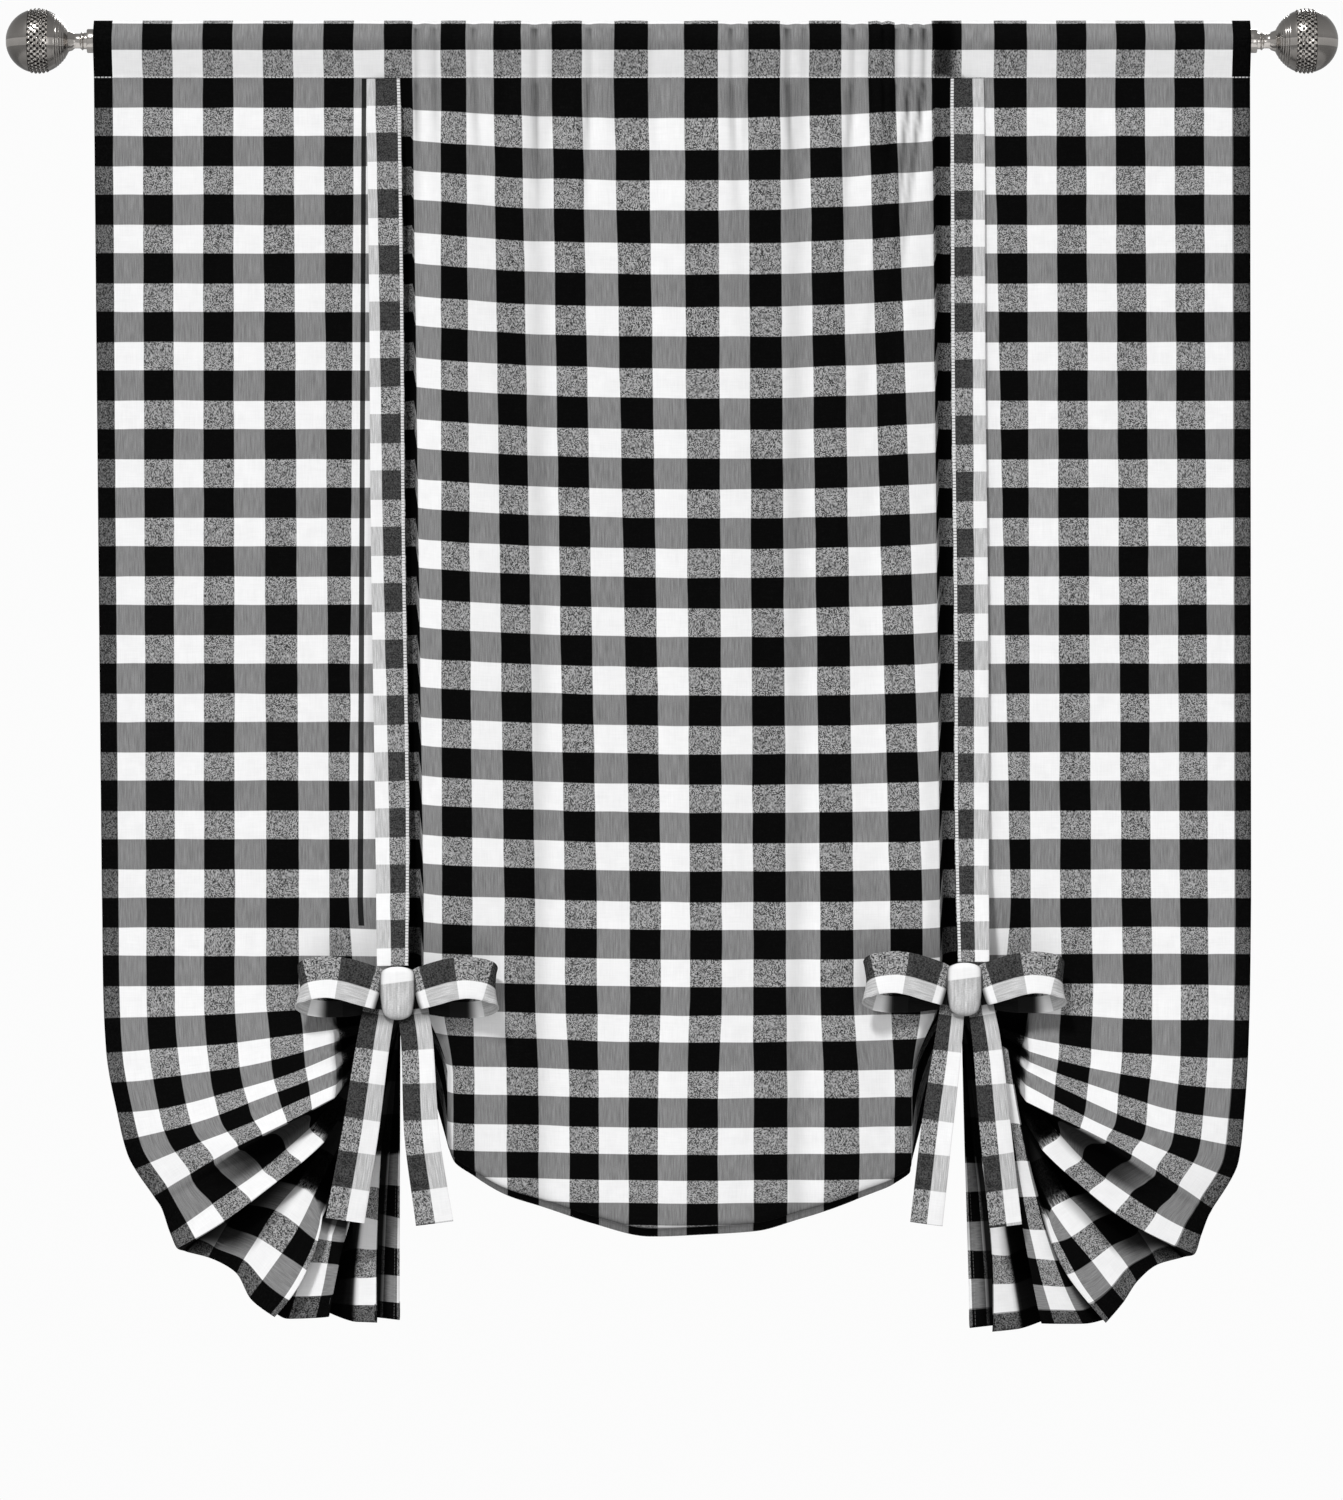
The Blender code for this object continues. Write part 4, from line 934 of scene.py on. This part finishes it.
# %% [markdown]
# ## Formulas made of nodes
# A pattern that repeats is best worked out, not painted: a formula stays sharp at any distance and fits the flat
# places exactly. In Blender a formula is a chain of Math nodes. Two small classes make the chain, so that the
# materials below read like ordinary sums.

# %% A helper for wiring nodes
class Value:
    """One number or vector in a material. Each sum or product of it makes a Math node."""

    def __init__(self, wiring, socket):
        self.wiring, self.socket = wiring, socket

    def math(self, operation, *values):
        return self.wiring.math(operation, self, *values)

    def clamped(self):
        """The same number, kept between 0 and 1."""
        self.socket.node.use_clamp = True
        return self

    def __add__(self, other):
        return self.math("ADD", other)

    def __sub__(self, other):
        return self.math("SUBTRACT", other)

    def __mul__(self, other):
        return self.math("MULTIPLY", other)

    def __truediv__(self, other):
        return self.math("DIVIDE", other)

    def __rsub__(self, other):
        return self.wiring.math("SUBTRACT", other, self)

    def __lt__(self, other):
        return self.math("LESS_THAN", other)

    def __abs__(self):
        return self.math("ABSOLUTE")

    __radd__, __rmul__ = __add__, __mul__


class Wiring:
    """Adds nodes to a new material and joins them."""

    def __init__(self, name):
        self.material = bpy.data.materials.new(name)
        self.material.use_nodes = True
        self.tree = self.material.node_tree
        self.shader = self.tree.nodes["Principled BSDF"]

    def put(self, socket, value):
        if isinstance(value, Value):
            self.tree.links.new(value.socket, socket)
        else:
            socket.default_value = value

    def node(self, kind, inputs=(), output=0, **settings):
        made = self.tree.nodes.new("ShaderNode" + kind)
        for name, value in settings.items():
            setattr(made, name, value)
        for key, value in dict(inputs).items():
            self.put(made.inputs[key], value)
        return Value(self, made.outputs[output])

    def math(self, operation, *values):
        return self.node("Math", dict(enumerate(values)), operation=operation)

    def blend(self, share, a, b):
        return self.node("Mix", {"Factor": share, "A": a, "B": b}, "Result")

    def noise(self, vector, scale=1.0, detail=2.0, roughness=0.5):
        return self.node("TexNoise", {"Vector": vector, "Scale": scale, "Detail": detail, "Roughness": roughness})

    def stretched(self, vector, x, y):
        return self.node("VectorMath", {0: vector, 1: (x, y, 1.0)}, operation="MULTIPLY")

    def parts(self, vector):
        """The x, y and z of a vector."""
        made = self.node("SeparateXYZ", {0: vector}).socket.node
        return [Value(self, socket) for socket in made.outputs]

    def surface(self, tone, tint, roughness, bump=None):
        """A tone with a slight tint in its green and blue, a roughness, and a bump of a strength, a distance and
        a height."""
        ends = {"Base Color": self.node("CombineColor", {0: tone, 1: tone * tint[0], 2: tone * tint[1]}),
                "Roughness": roughness}
        if bump:
            ends["Normal"] = self.node("Bump", dict(zip(("Strength", "Distance", "Height"), bump)))
        for name, value in ends.items():
            self.put(self.shader.inputs[name], value)
        return self.material


print("nodes can be written as sums")

# %% [markdown]
# ## A woven check made of nodes
# The colour of a check comes from its yarns: black or white warp runs down, black or white weft runs across, and
# each of the four crossings has its own look. Black on black is nearly black. White on white is a clean white.
# A black weft over a white warp gives a smooth grey with fine upright streaks, and a white weft over a black warp
# gives a salt-and-pepper grey. So the material makes two stripe masks from the flat places and mixes four tones.
# After that come the dark hems, the stitches, a narrow shade beside the left tie, and the shade inside the folds.

# %% The check cloth
TIE_SHADOW = ROOT_STRIPES["left"] * STRIPE - 18.3  # across the flat cloth, the narrow shade beside the left tie
LOWEST_TONE, HIGHEST_TONE = 0.002, 0.9
SOFT_EDGE = 0.006
STITCH_HALF, STITCH_PITCH = 0.0055, 0.034
YARN = 2 * math.pi / 0.011  # one wave to a pair of yarns


def stripe_mask(across, repeat, centre, dark_share):
    """1 in the band round the centre and 0 outside it, repeating, with a soft edge. All in decimetres."""
    turned = ((across - centre) / repeat + 0.5).math("FRACT")
    return ((dark_share / 2 - abs(turned - 0.5)) * (repeat / SOFT_EDGE) + 0.5).clamped()


def stitch_line(offset, along):
    """A row of stitches where the offset is nearly zero."""
    return (abs(offset) < STITCH_HALF) * ((along / STITCH_PITCH).math("FRACT") < 0.72)


def varied(base, texture, amount):
    """The base made lighter and darker by a texture that runs from 0 to 1."""
    return base * (1.0 + (texture - 0.5) * amount)


def check_cloth(name, black, weft_grey, warp_grey, white, hemmed):
    """black, weft_grey (black weft on white warp), warp_grey (white weft on black warp) and white are linear."""
    w = Wiring(name)
    flat = w.node("UVMap", uv_map="flat")
    u, v, _ = w.parts(flat)
    stitch_edge, shade, _ = w.parts(w.node("UVMap", uv_map="edge"))
    stripe, bar_dark = STRIPE / DECIMETRE, BAR_DARK / DECIMETRE
    drift = (w.noise(flat, 2.1, 1.0) - 0.5) * 0.016
    warp = stripe_mask(u + drift, 2 * stripe, (HEM_STRIPE + 0.5) * stripe, 0.5)
    weft = 1.0 - stripe_mask(v - drift, BAR_REPEAT / DECIMETRE, bar_dark / 2, BAR_DARK / BAR_REPEAT)

    upright = w.noise(w.stretched(flat, 95.0, 5.0), roughness=0.6)
    level = w.noise(w.stretched(flat, 5.0, 90.0), roughness=0.6)
    patch = w.noise(w.stretched(flat, 6.0, 6.0), roughness=0.6)
    grain = w.noise(w.stretched(flat, 130.0, 130.0), detail=1.0)
    crossing = w.node("VectorMath", {0: w.stretched(flat, 120.0, 105.0)}, operation="FLOOR")
    pepper = w.node("TexWhiteNoise", {"Vector": crossing}, noise_dimensions="2D")
    speck = ((pepper - 0.5) * 1.15 + 0.5).clamped()

    black_tone = varied(w.blend(speck, 0.4 * black, 1.6 * black), level, 1.6)
    weft_tone = varied(varied(weft_grey, upright, 1.25), grain, 0.5)
    warp_tone = varied(w.blend(speck, 0.025, 2 * warp_grey), level, 0.6)
    white_tone = varied(varied(white, upright, 0.12), level, 0.10)
    on_black, on_white = w.blend(weft, black_tone, warp_tone), w.blend(weft, weft_tone, white_tone)
    tone = varied(w.blend(warp, on_black, on_white), patch, 0.12)
    tone = tone.math("MAXIMUM", LOWEST_TONE).math("MINIMUM", HIGHEST_TONE)
    height = (u * YARN).math("SINE") * (v * YARN).math("SINE") * 0.35 + level * 0.8
    if hemmed:
        seam_stitch = stitch_line(v - (seam_flat - 0.5) / DECIMETRE, u)
        low_stitch = stitch_line(v - (FLAT_LENGTH - 12) / DECIMETRE, u)
        in_hem = u.math("MINIMUM", CLOTH_STRIPES * stripe - u) < HEM_STRIPE * stripe
        tone = w.blend(in_hem * (0.6 + (v < seam_flat / DECIMETRE) * 0.4), tone, black_tone)
        tone = w.blend((low_stitch * 0.15).math("MAXIMUM", seam_stitch * 0.75), tone, 0.7)
        beside_tie = u.math("COMPARE", TIE_SHADOW / DECIMETRE, 0.021) * v.math("COMPARE", 4.45, 3.9)
        tone = tone * (1.0 - beside_tie * 0.93)
        height = height - seam_stitch.math("MAXIMUM", low_stitch) * 0.15
    else:
        sewn = stitch_edge.math("COMPARE", 0.87, 0.09) * ((v / 0.03).math("FRACT") < 0.8)
        tone = w.blend(sewn * 0.85, tone, 0.8)
    w.shader.inputs["Specular IOR Level"].default_value = 0.03
    return w.surface(tone * (1.0 - shade * 0.985), (1.0, 1.005), 0.86 + grain * 0.12, (0.3, 0.0004, height))


panel_cloth = check_cloth("woven_check", 0.002, 0.225, 0.22, 0.86, True)
# The ties are cut from the same cloth as the panel, but their copy of the check has lighter blacks and greys, a
# painted light.
lighter_tie_cloth = check_cloth("tie_check_painted_lighter", 0.045, 0.52, 0.23, 0.86, False)
cloth.data.materials.append(panel_cloth)
for thing in bpy.data.objects:
    if thing.name.endswith(("_strip", "_wrap", "_ribbon")):
        thing.data.materials.append(lighter_tie_cloth)
print("check cloth: stripes of", STRIPE, "mm, bars of", BAR_DARK, "and", BAR_REPEAT - BAR_DARK, "mm")

# %% [markdown]
# ## Brushed nickel
# Nickel is a warm grey metal. Turning leaves fine rings in it, so the roughness and a tiny bump follow noise that
# is stretched round the piece. The fine mesh between the beads of the band is painted dark, a painted shade in its
# recesses. A bright band a little below the axis is a painted highlight, and the metal is painted darker towards
# its top and bottom, a painted shade.

# %% The metal
MESH_WAVE = 2 * math.pi / 0.055  # the fine mesh between the beads repeats at 5.5 mm
PAINTED_HIGHLIGHT_HEIGHT, PAINTED_HIGHLIGHT_HALF = -0.003, 0.0035  # a painted highlight: a bright band a little below the axis, as polished metal shows


def nickel():
    w = Wiring("brushed_nickel_finish")
    flat = w.node("UVMap", uv_map="flat")
    where = w.node("TexCoord", output=3)
    (u, v, _), (_, _, z) = w.parts(flat), w.parts(where)
    brushed = w.noise(w.stretched(where, 900.0, 60.0), 1.0, 3.0, 0.6)
    rings = w.noise(w.stretched(flat, 2.0, 160.0))
    # painted highlight: the tone is brighter in a band by height
    tone = 0.20 + w.noise(where, 38.0, 3.0, 0.6) * 0.16 + z.math("COMPARE", PAINTED_HIGHLIGHT_HEIGHT, PAINTED_HIGHLIGHT_HALF) * 0.25
    # painted shade: the metal is darker towards the top and bottom of each piece
    painted_light_by_height = (1.0 - abs(z - 0.004) / 0.026).clamped()
    # painted shade: the band's fine mesh is dark between its beads
    mesh_shade = (0.45 + (u * MESH_WAVE).math("SINE") * (v * MESH_WAVE).math("SINE") * 1.6).clamped()
    band_middle = (NECK_LENGTH + BALL_LENGTH - (BAND_FROM + BAND_TO) / 2) / DECIMETRE
    in_band = v.math("COMPARE", band_middle, (BAND_TO - BAND_FROM) / 2 / DECIMETRE)
    tone = w.blend(in_band, tone, 0.01 + mesh_shade * 0.7) * (0.5 + painted_light_by_height * 0.95)
    w.shader.inputs["Metallic"].default_value = 1.0
    return w.surface(tone, (0.95, 0.90), 0.16 + brushed * 0.16, (0.15, 0.0002, brushed + rings))


metal = nickel()
for thing in bpy.data.objects:
    if thing.name.startswith(("ball_end_", "rod_tube")):
        thing.data.materials.append(metal)
for name, node in frame["nodes"].items():
    node.data.materials.clear()
    node.data.materials.append(metal if name in ("rod", "finial_left", "finial_right") else panel_cloth)
print("metal on the rod and its ends")

# %% [markdown]
# ## Camera
# The photograph is taken straight on and from far away, so a long lens is placed level with the middle of the
# frame. Its angle is worked out from the height that the photograph covers.

# %% Camera
PIXEL = 0.92284  # millimetres of the shade in one pixel of the photograph
PHOTO_WIDTH, PHOTO_HEIGHT = 1343, 1500
ROD_PIXEL_X, ROD_PIXEL_Y = 672, 41  # the origin's place in the photograph
CAMERA_DISTANCE = 6.0
centre_x = (PHOTO_WIDTH / 2 - ROD_PIXEL_X) * PIXEL * MM
centre_z = (ROD_PIXEL_Y - PHOTO_HEIGHT / 2) * PIXEL * MM
camera_data = bpy.data.cameras.new("camera")
camera_data.sensor_fit = "VERTICAL"
camera_data.angle = 2 * math.atan(PHOTO_HEIGHT * PIXEL * MM / 2 / CAMERA_DISTANCE)
camera = bpy.data.objects.new("camera", camera_data)
camera.location = (centre_x, -CAMERA_DISTANCE, centre_z)
camera.rotation_euler = (math.pi / 2, 0, 0)
bpy.context.scene.collection.objects.link(camera)
bpy.context.scene.camera = camera
print("camera angle", round(math.degrees(camera_data.angle), 2), "degrees")

# %% [markdown]
# ## Floor and light
# The main light stands far off, high and to the left in front, and gives the shadows under the bows and folds. A
# weak one fills them a little, and one behind lights the cloth's edges. The camera sees a white background, but
# through the light path the cloth gets a softer light from it. The Standard view keeps the blacks black.

# %% Floor and light
FLOOR_DROP, FLOOR_RADIUS = 2.1, 3.4
WORLD_ON_CLOTH, WORLD_SEEN = 0.40, 0.97


def plain_material(name, tone):
    w = Wiring(name)
    return w.surface(tone + w.noise(w.node("TexCoord", output=3), 3.0) * 0.02, (1.0, 1.0), 0.9)


disc = bmesh.new()
bmesh.ops.create_circle(disc, cap_ends=True, radius=FLOOR_RADIUS, segments=96)
floor_mesh = bpy.data.meshes.new("floor")
disc.to_mesh(floor_mesh)
disc.free()
floor = bpy.data.objects.new("floor", floor_mesh)
floor.location = (0, 0, -FLOOR_DROP)
floor_mesh.materials.append(plain_material("pale_floor", 0.82))
bpy.context.scene.collection.objects.link(floor)

world = bpy.data.worlds.new("studio")
bpy.context.scene.world = world
world.use_nodes = True
nodes, links = world.node_tree.nodes, world.node_tree.links
background = nodes["Background"]
background.inputs[0].default_value = (1.0, 1.0, 1.0, 1)
seen, strength = nodes.new("ShaderNodeLightPath"), nodes.new("ShaderNodeMix")
strength.inputs["A"].default_value, strength.inputs["B"].default_value = WORLD_ON_CLOTH, WORLD_SEEN
links.new(seen.outputs["Is Camera Ray"], strength.inputs["Factor"])
links.new(strength.outputs["Result"], background.inputs["Strength"])
bpy.context.scene.view_settings.view_transform = "Standard"


def area_light(name, place, aim, size, power):
    data = bpy.data.lights.new(name, "AREA")
    data.shape, data.size, data.energy = "DISK", size, power
    light = bpy.data.objects.new(name, data)
    light.location = place
    light.rotation_euler = (Vector(aim) - Vector(place)).to_track_quat("-Z", "Y").to_euler()
    bpy.context.scene.collection.objects.link(light)


area_light("key", (-4.0, -10.0, 10.5), (0, 0, -0.6), 2.2, 1800)
area_light("fill", (2.0, -4.0, -0.6), (0, 0, -0.7), 1.6, 12)
area_light("rear", (1.5, 6.0, 3.0), (0, 0, -0.6), 2.0, 200)
print("floor, background and three lights set")
